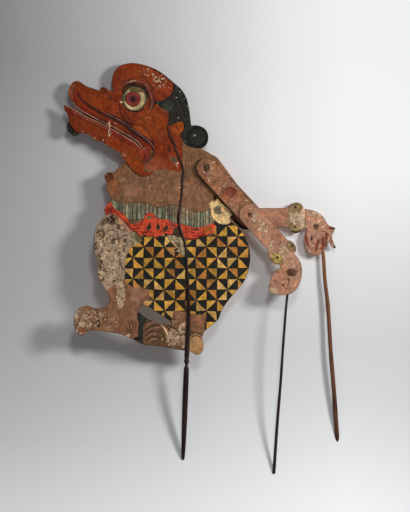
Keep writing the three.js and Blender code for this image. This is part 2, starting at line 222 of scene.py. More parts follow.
def flowing(points: Points, spacing: float = 1.5, closed: bool = False, corner: float = CORNER) -> np.ndarray:
    """A smooth line through points that keeps its sharp corners.

    Args:
        points: The points that it passes through.
        spacing: The distance between the points returned.
        closed: Whether it is a loop.
        corner: The turn in degrees from which a point is a corner.

    Returns:
        The line's points; a loop doesn't repeat its start.
    """
    p = np.array(points, float)
    if len(p) == 2:
        return resample(p, spacing)
    before = np.roll(p, 1, axis=0) if closed else np.vstack([2 * p[:1] - p[1:2], p[:-1]])
    after = np.roll(p, -1, axis=0) if closed else np.vstack([p[1:], 2 * p[-1:] - p[-2:-1]])
    a, b = p - before, after - p
    turn = np.degrees(np.abs(np.arctan2(a[:, 0] * b[:, 1] - a[:, 1] * b[:, 0], (a * b).sum(1))))
    sharp = [int(i) for i in np.flatnonzero(turn > corner)]
    if closed and not sharp:
        return resample(spline(p, True), spacing)[:-1]
    if closed:
        p = np.vstack([np.roll(p, -sharp[0], axis=0), p[sharp[0]][None]])
        sharp = [i - sharp[0] for i in sharp]
    stops = sorted({0, *sharp, len(p) - 1})
    runs = []
    for start, end in zip(stops, stops[1:], strict=False):
        run = p[start : end + 1]
        curve = spline(run, False) if len(run) > 2 else run
        runs.append(resample(curve, spacing)[:-1])
    if not closed:
        runs.append(p[-1:])
    return np.vstack(runs)


def ring(centre: Point, rx: float, rz: float | None = None, count: int = 40) -> Points:
    """An ellipse round a centre.

    Args:
        centre: Its centre.
        rx: Its half width.
        rz: Its half height, or None for a circle.
        count: How many points it has.

    Returns:
        Its points.
    """
    rz = rx if rz is None else rz
    turns = [2 * math.pi * i / count for i in range(count)]
    return [(centre[0] + rx * math.cos(t), centre[1] + rz * math.sin(t)) for t in turns]


def inside(at: np.ndarray, loop: np.ndarray) -> np.ndarray:
    """Which points lie inside a loop.

    Args:
        at: The points.
        loop: The loop, without its start repeated.

    Returns:
        For each point, whether it lies inside.
    """
    found = np.zeros(len(at), bool)
    low, high = loop.min(0), loop.max(0)
    near = np.flatnonzero(((at >= low) & (at <= high)).all(1))
    x, z = at[near, 0], at[near, 1]
    odd = np.zeros(len(near), bool)
    for (x0, z0), (x1, z1) in zip(loop, np.roll(loop, -1, axis=0), strict=True):
        if z0 == z1:
            continue
        odd ^= ((z0 > z) != (z1 > z)) & (x < (x1 - x0) * (z - z0) / (z1 - z0) + x0)
    found[near] = odd
    return found


def away_from(at: np.ndarray, line: np.ndarray, reach: float) -> tuple[np.ndarray, np.ndarray]:
    """How far points lie from a line, and how far along it, from 0 to 1.

    Args:
        at: The points.
        line: The line's points.
        reach: Points further away than this count as infinitely far.

    Returns:
        The distances and the shares along the line.
    """
    best = np.full(len(at), np.inf)
    share = np.zeros(len(at))
    near = np.flatnonzero(((at >= line.min(0) - reach) & (at <= line.max(0) + reach)).all(1))
    count = len(line) - 1
    for i in range(count):
        a, b = line[i], line[i + 1]
        edge = b - a
        t = np.clip(((at[near] - a) @ edge) / max(edge @ edge, 1e-12), 0, 1)
        d = np.linalg.norm(at[near] - a - t[:, None] * edge, axis=1)
        closer = d < best[near]
        best[near[closer]] = d[closer]
        share[near[closer]] = (i + t[closer]) / count
    return best, share


def sideways(line: np.ndarray, closed: bool = False) -> np.ndarray:
    """Unit vectors to the right of a line at each of its points.

    Args:
        line: The line's points.
        closed: Whether it is a loop.

    Returns:
        One vector for each point.
    """
    if closed:
        along = np.roll(line, -1, axis=0) - np.roll(line, 1, axis=0)
    else:
        along = np.gradient(line, axis=0)
    along /= np.maximum(np.linalg.norm(along, axis=1), 1e-9)[:, None]
    return np.column_stack([along[:, 1], -along[:, 0]])


def beside(points: Points, distance: float) -> Points:
    """The line through points, moved to its right by a distance."""
    line = flowing(points, 3)
    return [tuple(p) for p in line + distance * sideways(line)]


def by_hand(line: np.ndarray) -> np.ndarray:
    """A line a little unsteady, as a brush leaves it.

    Args:
        line: The line's points.

    Returns:
        The points, each moved a little.
    """
    places = line / HAND_WAVE
    shift = [[noise.noise(Vector((x, z, layer))) for layer in (0.5, 9.5)] for x, z in places]
    return line + HAND_SHIFT * np.array(shift)


# What is painted on a sheet


@dataclass(frozen=True)
class Patch:
    """An area of one paint.

    Attributes:
        paint: Its paint.
        points: Its outline.
        within: The outline of a larger area that it can't leave.
        light: How much lighter or darker than its paint it is.
        corner: The turn in degrees from which a point of the outline is a corner.
    """

    paint: Paint
    points: Points
    within: Points | None = None
    light: float = 1.0
    corner: float = CORNER

    def lines(self) -> list[np.ndarray]:
        """The outline as a closed line."""
        loop = by_hand(flowing(self.points, EDGE_STEP, True, self.corner))
        return [np.vstack([loop, loop[:1]])]

    def lay(self, at: np.ndarray, colour: np.ndarray) -> None:
        """Paints the points that it covers.

        Args:
            at: The points.
            colour: Their colours, which are changed.
        """
        mask = inside(at, self.lines()[0][:-1])
        if self.within is not None and mask.any():
            kept = np.flatnonzero(mask)
            mask[kept] = inside(at[kept], flowing(self.within, EDGE_STEP, True))
        colour[mask] = np.array(self.paint.linear) * self.light


@dataclass(frozen=True)
class Stroke:
    """A brush stroke or cut line, thinner towards its ends, and pressed a little into the hide.

    Attributes:
        paint: Its paint.
        points: The line that it follows.
        width: Its width at the middle.
        ends: Its width at its ends as a share of the middle.
        press: How deep it is pressed in.
        closed: Whether it is a loop.
    """

    paint: Paint
    points: Points
    width: float = 1.2
    ends: float = 0.25
    press: float = 0.16
    closed: bool = False

    def line(self) -> np.ndarray:
        """The line that the brush follows."""
        line = by_hand(flowing(self.points, min(EDGE_STEP, self.width * 1.5 + 0.4), self.closed))
        return np.vstack([line, line[:1]]) if self.closed else line

    def half(self, share: np.ndarray) -> np.ndarray:
        """Half the width at shares of the length, uneven as a brush leaves it.

        Args:
            share: The shares, from 0 to 1.

        Returns:
            Half the width at each.
        """
        steps = np.linspace(0, 1, 33)
        place = (7 * self.width, self.points[0][0])
        wave = [1 + BRUSH_UNEVEN * noise.noise(Vector((9 * t, *place))) for t in steps]
        half = self.width / 2 * np.interp(share, steps, wave)
        if self.closed:
            return half
        fade = np.clip(np.minimum(share, 1 - share) * BRUSH_ENDS, 0, 1)
        return half * (self.ends + (1 - self.ends) * np.sqrt(fade))

    def lines(self) -> list[np.ndarray]:
        """Both edges of the stroke and its middle.

        Returns:
            The lines.
        """
        line = self.line()
        out = self.half(np.linspace(0, 1, len(line)))[:, None] * sideways(line, False)
        if self.closed:
            out[-1] = out[0]
            return [line + out, line, line - out]
        return [np.vstack([line + out, (line - out)[::-1], (line + out)[:1]]), line]

    def lay(self, at: np.ndarray, colour: np.ndarray) -> None:
        """Paints the points that it covers."""
        far, share = away_from(at, self.line(), self.width)
        colour[far <= self.half(share)] = self.paint.linear

    def depth(self, at: np.ndarray) -> np.ndarray:
        """How deep the points are pressed in."""
        far, share = away_from(at, self.line(), self.width)
        return self.press * np.clip(1 - far / np.maximum(self.half(share), 1e-6), 0, 1)


@dataclass(frozen=True)
class Spot:
    """A round place where paint has worn off, or where its colour drifts.

    Attributes:
        x: Its place.
        z: Its place.
        radius: Its size.
        strength: How much, from 0 to 1.
        paint: The colour that it drifts to, or None where it is wear.
    """

    x: float
    z: float
    radius: float
    strength: float
    paint: Paint | None = None


# Node trees


class Wiring:
    """A node tree whose nodes are added by short calls.

    Attributes:
        tree: The tree.
    """

    def __init__(self, tree: bpy.types.NodeTree) -> None:
        """Takes a tree to add nodes to."""
        self.tree = tree

    def put(self, socket: bpy.types.NodeSocket, value: object) -> None:
        """Links a socket to an output, or sets its value.

        Args:
            socket: An input.
            value: An output, or a plain value.
        """
        if isinstance(value, bpy.types.NodeSocket):
            self.tree.links.new(value, socket)
        else:
            socket.default_value = value

    def node(self, kind: str, output: str | int, inputs: dict, **settings: object) -> bpy.types.NodeSocket:
        """Adds a node.

        Args:
            kind: Its type.
            output: The output wanted, by name or number.
            inputs: What its inputs get, by name or number.
            settings: Its settings.

        Returns:
            The output socket.
        """
        made = self.tree.nodes.new(kind)
        for name, value in settings.items():
            setattr(made, name, value)
        for name, value in inputs.items():
            self.put(made.inputs[name], value)
        return made.outputs[output]

    def sum(self, how: str, a: object, b: object = 0.0, c: object = 0.0) -> bpy.types.NodeSocket:
        """A sum of numbers, named as the Math node names it."""
        return self.node("ShaderNodeMath", 0, {0: a, 1: b, 2: c}, operation=how)


class Recipe(Wiring):
    """A material whose nodes are added by short calls.

    Attributes:
        material: The material.
        nodes: Its nodes.
        shader: Its main shader.
        coordinates: Places on the object, in metres.
    """

    def __init__(self, name: str) -> None:
        """Makes a material with one shader.

        Args:
            name: The material's name.
        """
        self.material = bpy.data.materials.new(name)
        self.material.use_nodes = True
        super().__init__(self.material.node_tree)
        self.nodes = self.tree.nodes
        self.shader = self.nodes["Principled BSDF"]
        self.coordinates = self.node("ShaderNodeTexCoord", "Object", {})

    def attribute(self, name: str, output: str = "Fac") -> bpy.types.NodeSocket:
        """What a mesh attribute says."""
        return self.node("ShaderNodeAttribute", output, {}, attribute_name=name)

    def stretched(self, scale: tuple[float, float, float]) -> bpy.types.NodeSocket:
        """Object coordinates scaled along each axis, less than 1 for a longer grain."""
        return self.node("ShaderNodeMapping", "Vector", {"Vector": self.coordinates, "Scale": scale})

    def cloud(
        self, scale: float, detail: float = 4, rough: float = 0.55, at: object = None, bend: float = 0
    ) -> bpy.types.NodeSocket:
        """Noise from 0 to 1.

        Args:
            scale: How many features there are to a metre.
            detail: Its octaves.
            rough: How strong the finer octaves are.
            at: Its coordinates, or None for plain Object coordinates.
            bend: Its distortion.

        Returns:
            The output socket.
        """
        at = self.coordinates if at is None else at
        inputs = {"Vector": at, "Scale": scale, "Detail": detail, "Roughness": rough, "Distortion": bend}
        return self.node("ShaderNodeTexNoise", "Fac", inputs)

    def cells(
        self, scale: float, feature: str = "DISTANCE_TO_EDGE", at: object = None
    ) -> bpy.types.NodeSocket:
        """Distances in a pattern of irregular cells.

        Args:
            scale: How many cells there are to a metre.
            feature: Which distance, as the node names it.
            at: Its coordinates, or None for plain Object coordinates.

        Returns:
            The output socket.
        """
        inputs = {"Vector": self.coordinates if at is None else at, "Scale": scale}
        return self.node("ShaderNodeTexVoronoi", "Distance", inputs, feature=feature)

    def spread(
        self, value: object, low: float, high: float, to_low: float = 0, to_high: float = 1
    ) -> bpy.types.NodeSocket:
        """A value mapped from one range to another, and held inside it.

        Args:
            value: The value.
            low: Where the range that it comes from starts.
            high: Where that range ends.
            to_low: Where the range that it goes to starts.
            to_high: Where that range ends.

        Returns:
            The output socket.
        """
        ranges = {"From Min": low, "From Max": high, "To Min": to_low, "To Max": to_high}
        return self.node("ShaderNodeMapRange", "Result", {"Value": value, **ranges})

    def ramp(self, value: object, tones: Tones) -> bpy.types.NodeSocket:
        """Greys by a value, a little blue where they are dark.

        Args:
            value: The value, from 0 to 1.
            tones: Its stops and the grey at each.

        Returns:
            The output socket.
        """
        colour = self.node("ShaderNodeValToRGB", "Color", {"Fac": value})
        stops = colour.node.color_ramp.elements
        while len(stops) < len(tones):
            stops.new(1.0)
        for stop, (at, tone) in zip(stops, tones, strict=True):
            stop.position = at
            stop.color = (tone, tone * 1.01, tone * (1.06 - 0.06 * tone), 1)
        return colour

    def mixed(self, kind: str, share: object, a: object, b: object, how: str = "MIX") -> bpy.types.NodeSocket:
        """Two values of one kind mixed.

        Args:
            kind: Color or Float.
            share: How much of the second there is.
            a: The first.
            b: The second.
            how: How they are mixed.

        Returns:
            The output socket.
        """
        node = self.nodes.new("ShaderNodeMix")
        node.data_type = "RGBA" if kind == "Color" else "FLOAT"
        node.blend_type = how
        sockets = {socket.identifier: socket for socket in node.inputs}
        for name, value in (("Factor_Float", share), ("A_" + kind, a), ("B_" + kind, b)):
            self.put(sockets[name], value)
        return next(socket for socket in node.outputs if socket.identifier == "Result_" + kind)

    def blend(self, share: object, a: object, b: object, how: str = "MIX") -> bpy.types.NodeSocket:
        """Two colours mixed."""
        return self.mixed("Color", share, a, b, how)

    def level(self, share: object, a: object, b: object) -> bpy.types.NodeSocket:
        """Two numbers mixed."""
        return self.mixed("Float", share, a, b)

    def relief(self, height: object, strength: float, distance: float) -> None:
        """Sets the shader's bump.

        Args:
            height: The height.
            strength: How strong the bump is.
            distance: How high it is, in metres.
        """
        inputs = {"Strength": strength, "Distance": distance, "Height": height}
        self.put(self.shader.inputs["Normal"], self.node("ShaderNodeBump", "Normal", inputs))

    def finish(self, colour: object, rough: object, specular: float = 0.5) -> bpy.types.Material:
        """Links colour and roughness, and returns the material.

        Args:
            colour: The colour, an output or a plain one.
            rough: The roughness, likewise.
            specular: How strongly it reflects.

        Returns:
            The material.
        """
        self.put(self.shader.inputs["Base Color"], colour)
        self.put(self.shader.inputs["Roughness"], rough)
        self.shader.inputs["Specular IOR Level"].default_value = specular
        return self.material


@dataclass(frozen=True)
class PaintedHide:
    """Brushed paint on rawhide, mottled, cracked, specked with dirt, and flaked down to a pale ground.

    Attributes:
        name: The material's name.
        blotch: Features to a metre of the broad unevenness.
        mottle: Features to a metre of the fine unevenness.
        flake: Features to a metre of the larger flakes.
        speck: Features to a metre of the smallest flakes.
        gloss: The roughness of sound paint.
        flake_level: The level of noise from which sound paint has flaked.
        speck_level: The level of noise from which it has lost a speck.
        pit_level: The level of noise from which it has a dark pit.
        wear_flakes: How far full wear lowers the first level.
        wear_pits: How far it lowers the last one.
    """

    name: str
    blotch: float = 34
    mottle: float = 210
    flake: float = 290
    speck: float = 400
    gloss: float = 0.56
    flake_level: float = 0.745
    speck_level: float = 0.715
    pit_level: float = 0.7
    wear_flakes: float = 0.33
    wear_pits: float = 0.12

    def material(self) -> bpy.types.Material:
        """Builds the material.

        Returns:
            The material.
        """
        r = Recipe(self.name)
        paint, wear, rim = r.attribute("paint", "Color"), r.attribute("wear"), r.attribute("rim")
        broad, middle, fine = r.cloud(self.blotch, 3), r.cloud(105, 4, 0.6), r.cloud(self.mottle, 6, 0.62)
        grain, strokes = r.cloud(1300, 3, 0.6), r.cloud(160, 4, 0.6, r.stretched((1, 1, 0.28)))
        tone = 1.0
        for value, depth in ((broad, 0.24), (middle, 0.24), (fine, 0.26), (strokes, 0.12), (grain, 0.1)):
            tone = r.sum("MULTIPLY", r.spread(value, 0.3, 0.7, 1 - depth, 1 + depth), tone)
        colour = r.blend(1.0, paint, tone, "MULTIPLY")
        warm = r.spread(r.cloud(62, 4, 0.6, bend=0.6), 0.5, 0.68, 0, 0.5)
        colour = r.blend(warm, colour, (1.4, 1.02, 0.7, 1), "MULTIPLY")
        cool = r.spread(r.cloud(95, 4, 0.6), 0.52, 0.68, 0, 0.5)
        colour = r.blend(cool, colour, (0.82, 0.88, 0.98, 1), "MULTIPLY")
        soot = r.spread(r.cloud(300, 5, 0.7), 0.57, 0.65, 0, 0.55)
        colour = r.blend(soot, colour, (0.4, 0.34, 0.32, 1), "MULTIPLY")
        crack = r.spread(r.cells(230, at=r.stretched((1, 1, 0.8))), 0.0, 0.045, 1, 0)
        cracked = r.sum("MULTIPLY", crack, r.spread(r.cloud(48, 2), 0.5, 0.62, 0, 0.45))
        colour = r.blend(cracked, colour, (0.4, 0.32, 0.3, 1), "MULTIPLY")
        worn = r.sum("MAXIMUM", wear, r.sum("MULTIPLY", rim, 0.3))
        chips = r.sum("MULTIPLY", r.cloud(self.flake, 8, 0.66, bend=0.25), 0.65)
        chips = r.sum("MULTIPLY_ADD", r.cloud(120, 3, 0.5), 0.35, chips)
        level = r.sum("MULTIPLY_ADD", worn, self.wear_flakes, -self.flake_level)
        large = r.spread(r.sum("ADD", chips, level), -0.008, 0.012)
        reach = r.sum("MULTIPLY", worn, r.spread(r.cloud(150, 3, 0.6), 0.35, 0.62, 0.1, 0.8))
        reach = r.sum("ADD", reach, r.sum("MULTIPLY_ADD", r.cloud(self.speck, 3, 0.7), 0.9, -0.5))
        reach = r.sum("SUBTRACT", reach, r.cells(300, "F1"))
        sparse = r.sum("ADD", r.cloud(self.speck, 3, 0.6), -self.speck_level)
        bare = r.sum("MAXIMUM", large, r.spread(reach, -0.03, 0.06))
        bare = r.sum("MAXIMUM", bare, r.spread(sparse, -0.008, 0.02))
        age = r.cloud(560, 4, 0.6)
        old = r.blend(r.spread(age, 0.42, 0.58), shade(166, 132, 100), shade(226, 198, 162))
        old = r.blend(r.spread(middle, 0.45, 0.6, 0, 0.75), old, shade(126, 98, 78))
        colour = r.blend(bare, colour, old)
        level = r.sum("MULTIPLY_ADD", worn, self.wear_pits, -self.pit_level)
        pits = r.sum("ADD", r.cloud(640, 4, 0.7, bend=0.3), level)
        pitted = r.spread(pits, 0, 0.025, 0, 0.8)
        colour = r.blend(pitted, colour, shade(42, 28, 21))
        edge = r.spread(r.sum("MULTIPLY", rim, r.spread(fine, 0.3, 0.6, 0.5, 1.2)), 0.55, 1.0, 0, 0.6)
        colour = r.blend(edge, colour, shade(44, 29, 21))
        rough = r.level(bare, r.spread(fine, 0.3, 0.7, self.gloss - 0.08, self.gloss + 0.14), 0.82)
        height = r.sum("MULTIPLY_ADD", grain, 0.1, r.sum("MULTIPLY", fine, 0.35))
        for value, lift in ((strokes, 0.25), (bare, -0.3), (cracked, -0.3), (pitted, -0.25)):
            height = r.sum("MULTIPLY_ADD", value, lift, height)
        r.relief(height, 0.5, 0.0006)
        return r.finish(colour, rough, 0.15)


@dataclass(frozen=True)
class PolishedWood:
    """Wood or horn darkened and polished by hands, with long streaks along the rod.

    Attributes:
        name: The material's name.
        deep: Its darker colour.
        warm: Its lighter streaks.
        top: The colour at the rod's top end, where it differs.
        rough: Its roughness.
    """

    name: str
    deep: tuple[int, int, int]
    warm: tuple[int, int, int]
    top: tuple[int, int, int] | None = None
    rough: float = 0.4

    def material(self) -> bpy.types.Material:
        """Builds the material.

        Returns:
            The material.
        """
        r = Recipe(self.name)
        streak = r.cloud(420, 5, 0.6, r.stretched((1, 1, 0.035)))
        blotch = r.cloud(60, 4, 0.6)
        fine = r.cloud(1600, 3, 0.6, r.stretched((1, 1, 0.06)))
        share = r.sum("MULTIPLY_ADD", blotch, 0.45, r.sum("MULTIPLY", streak, 0.6))
        colour = r.blend(r.spread(share, 0.42, 0.66), shade(*self.deep), shade(*self.warm))
        if self.top:
            colour = r.blend(r.attribute("along"), colour, shade(*self.top))
        pore = r.spread(fine, 0.58, 0.7, 0, 0.6)
        colour = r.blend(pore, colour, shade(*[c // 3 for c in self.deep]))
        rough = r.spread(blotch, 0.35, 0.7, self.rough - 0.06, self.rough + 0.18)
        height = r.sum("MULTIPLY_ADD", fine, -0.4, r.sum("MULTIPLY", streak, 0.8))
        r.relief(height, 0.35, 0.0004)
        r.shader.inputs["Coat Weight"].default_value = 0.08
        r.shader.inputs["Coat Roughness"].default_value = 0.25
        return r.finish(colour, rough, 0.28)


@dataclass(frozen=True)
class Rawhide:
    """Bare twisted hide or thread, with fibres along it.

    Attributes:
        name: The material's name.
        deep: Its darker colour.
        worn: Its lighter colour on what rubs.
        fibres: Features to a metre.
        rough: Its roughness.
    """

    name: str
    deep: tuple[int, int, int]
    worn: tuple[int, int, int]
    fibres: float = 1500
    rough: float = 0.6

    def material(self) -> bpy.types.Material:
        """Builds the material.

        Returns:
            The material.
        """
        r = Recipe(self.name)
        fibre = r.cloud(self.fibres, 5, 0.65, bend=0.8)
        blotch = r.cloud(260, 3, 0.6)
        share = r.sum("MULTIPLY_ADD", blotch, 0.5, r.sum("MULTIPLY", fibre, 0.5))
        colour = r.blend(r.spread(share, 0.4, 0.62), shade(*self.deep), shade(*self.worn))
        r.relief(fibre, 0.6, 0.0003)
        return r.finish(colour, r.spread(blotch, 0.3, 0.7, self.rough - 0.1, self.rough + 0.15), 0.35)


@dataclass(frozen=True)
class StudioPaper:
    """The pale sweep, with light and shade painted into its colour: lighter towards the lamp, greyer away
    from it.

    Attributes:
        name: The material's name.
        heights: The heights in metres between which its tones change.
        left: Its tones on the left, by share of that height, which paint light and shade onto it.
        right: Its tones on the right, likewise painting light and shade onto it.
        sides: Where the left tones end and the right ones are reached, in metres.
        shaded: Where its painted shade begins at the far right, and where that ends.
        shade_depth: How much that painted shade darkens it.
    """

    name: str = "studio_paper"
    heights: tuple[float, float] = (-0.07, 0.63)
    left: Tones = (
        (0.0, 0.94), (0.14, 0.71), (0.225, 0.635), (0.35, 0.575), (0.6, 0.485), (0.77, 0.4), (0.93, 0.31),
    )
    right: Tones = (
        (0.0, 0.99), (0.14, 0.84), (0.225, 0.77), (0.34, 0.71), (0.46, 0.74), (0.7, 0.85), (0.93, 0.79),
    )

    sides: Point = (-0.3, 0.14)
    shaded: Point = (0.24, 0.33)
    shade_depth: float = 0.1

    def material(self) -> bpy.types.Material:
        """Builds the material.

        Returns:
            The material.
        """
        r = Recipe(self.name)
        x = r.node("ShaderNodeSeparateXYZ", "X", {0: r.coordinates})
        z = x.node.outputs["Z"]
        up = r.spread(z, *self.heights)
        share = r.spread(x, *self.sides)
        # Painted light and shade: tones by height on each side, blended from left to right, then darkened at
        # the far right
        colour = r.blend(share, r.ramp(up, self.left), r.ramp(up, self.right))
        far = r.spread(x, *self.shaded, 0, self.shade_depth)
        colour = r.blend(far, colour, (0, 0, 0, 1))
        grain = r.cloud(900, 2)
        colour = r.blend(r.spread(grain, 0.3, 0.7, 0, 0.03), colour, shade(120, 120, 120))
        r.relief(grain, 0.05, 0.0002)
        paper = r.finish(colour, 0.9, 0.1)
        see = r.node("ShaderNodeBsdfTransparent", 0, {})
        back = r.node("ShaderNodeNewGeometry", "Backfacing", {})
        shown = r.node("ShaderNodeMixShader", 0, {0: back, 1: r.shader.outputs[0], 2: see})
        r.put(r.nodes["Material Output"].inputs["Surface"], shown)
        return paper


# Meshes


def piece(name: str, vertices: object, faces: object, smooth: bool = True) -> bpy.types.Object:
    """A new object at the origin with its mesh in metres.

    Args:
        name: Its name.
        vertices: Its vertices in millimetres.
        faces: Its faces, as lists of vertex numbers.
        smooth: Whether it is shaded smooth.

    Returns:
        The object.
    """
    mesh = bpy.data.meshes.new(name)
    mesh.from_pydata((np.asarray(vertices, float) * MM).tolist(), [], [list(map(int, f)) for f in faces])
    mesh.validate()
    if smooth:
        mesh.shade_smooth()
    made = bpy.data.objects.new(name, mesh)
    bpy.context.scene.collection.objects.link(made)
    return made


def place(made: bpy.types.Object, node: str, body: str, slot: str, material: bpy.types.Material) -> None:
    """Dresses a piece, lets it ride on its body and stand for its node, and reports it.

    Args:
        made: The piece.
        node: The CAD node that it stands for.
        body: The body that it rides on.
        slot: The record's material slot; not used.
        material: Its material.
    """
    made.data.materials.clear()
    made.data.materials.append(material)
    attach(made, body)
    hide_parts(node)
    log.info("%s: %d faces, rides on %s", made.name, len(made.data.polygons), body)


def quads(rows: int, columns: int, round_rows: bool = False, round_columns: bool = True) -> Faces:
    """Faces between points that are numbered row by row.

    Args:
        rows: How many rows there are.
        columns: How many points a row has.
        round_rows: Whether the last row joins the first.
        round_columns: Whether the last point of a row joins its first.

    Returns:
        The faces.
    """
    faces = []
    for i in range(rows if round_rows else rows - 1):
        here, there = i * columns, (i + 1) % rows * columns
        for j in range(columns if round_columns else columns - 1):
            k = (j + 1) % columns
            faces.append([here + j, here + k, there + k, there + j])
    return faces


def tube(rings: list[np.ndarray]) -> Skin:
    """A closed skin through rings of points, with a cap on each end.

    Args:
        rings: The rings, each with as many points.

    Returns:
        Its vertices and faces.
    """
    sides = len(rings[0])
    vertices = np.vstack([*rings, rings[0].mean(0)[None], rings[-1].mean(0)[None]])
    faces = quads(len(rings), sides)
    last, foot, top = (len(rings) - 1) * sides, len(rings) * sides, len(rings) * sides + 1
    for j in range(sides):
        faces.append([foot, (j + 1) % sides, j])
        faces.append([top, last + j, last + (j + 1) % sides])
    return vertices, faces


def outwards(vertices: np.ndarray, faces: Faces) -> Faces:
    """The faces, turned round if the closed skin that they make is inside out.

    Args:
        vertices: Its vertices.
        faces: Its faces.

    Returns:
        The faces.
    """
    volume = 0.0
    for face in faces:
        a = vertices[face[0]]
        for b, c in zip(face[1:], face[2:], strict=False):
            volume += float(a @ np.cross(vertices[b], vertices[c]))
    return faces if volume > 0 else [face[::-1] for face in faces]


def joined(parts: list[Skin]) -> Skin:
    """Several closed skins as one list of vertices and faces, each facing outwards.

    Args:
        parts: The skins.

    Returns:
        The vertices and faces.
    """
    vertices, faces, count = [], [], 0
    for points, sides in parts:
        faces += [[i + count for i in face] for face in outwards(points, sides)]
        vertices.append(points)
        count += len(points)
    return np.vstack(vertices), faces


def swept(path: np.ndarray, width: object, depth: object, sides: int = 10) -> Skin:
    """A rod or strip with an oval section along a path in space.

    Args:
        path: The path's points.
        width: Its width, one number or one for each point.
        depth: Its depth, likewise.
        sides: How many sides its section has.

    Returns:
        Its vertices and faces.
    """
    count = len(path)
    width, depth = np.broadcast_to(width, count), np.broadcast_to(depth, count)
    along = np.gradient(path, axis=0)
    along /= np.linalg.norm(along, axis=1)[:, None]
    side = np.cross(along[0], [0, 1, 0])
    if np.linalg.norm(side) < 0.2:
        side = np.cross(along[0], [1, 0, 0])
    rings = []
    for i in range(count):
        side = side - along[i] * (side @ along[i])
        side /= np.linalg.norm(side)
        other = np.cross(along[i], side)
        turns = np.linspace(0, 2 * np.pi, sides, endpoint=False)[:, None]
        rings.append(path[i] + np.cos(turns) * side * width[i] / 2 + np.sin(turns) * other * depth[i] / 2)
    return tube(rings)


def cut_loops(node: str) -> list[np.ndarray]:
    """The outline of a flat CAD node and of its round holes, in millimetres, the outline first.

    Loops of four points are the square slots, which thread fills.

    Args:
        node: The node's name.

    Returns:
        Loops, anticlockwise for the outline and clockwise for the holes.
    """
    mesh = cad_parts[node].data
    at = np.array([v.co for v in mesh.vertices]) / MM
    front = at[:, 1] < at[:, 1].min() + 0.01
    keys = [tuple(k) for k in np.round(at[:, [0, 2]], 3)]
    edges = {}
    for polygon in mesh.polygons:
        corners = list(polygon.vertices)
        if not front[corners].all():
            continue
        names = [keys[i] for i in corners]
        for a, b in zip(names, names[1:] + names[:1], strict=True):
            if (b, a) in edges:
                del edges[(b, a)]
            else:
                edges[(a, b)] = True
    following = {a: b for a, b in edges}
    loops = []
    while following:
        start, loop = next(iter(following)), []
        here = start
        while here in following:
            loop.append(here)
            here = following.pop(here)
        if len(loop) > 4:
            loops.append(np.array(loop))
    areas = [np.sum(p[:, 0] * np.roll(p[:, 1], -1) - np.roll(p[:, 0], -1) * p[:, 1]) for p in loops]
    order = np.argsort(-np.abs(areas))
    turned = []
    for rank, i in enumerate(order):
        wanted = 1 if rank == 0 else -1
        turned.append(loops[i] if areas[i] * wanted > 0 else loops[i][::-1])
    return turned


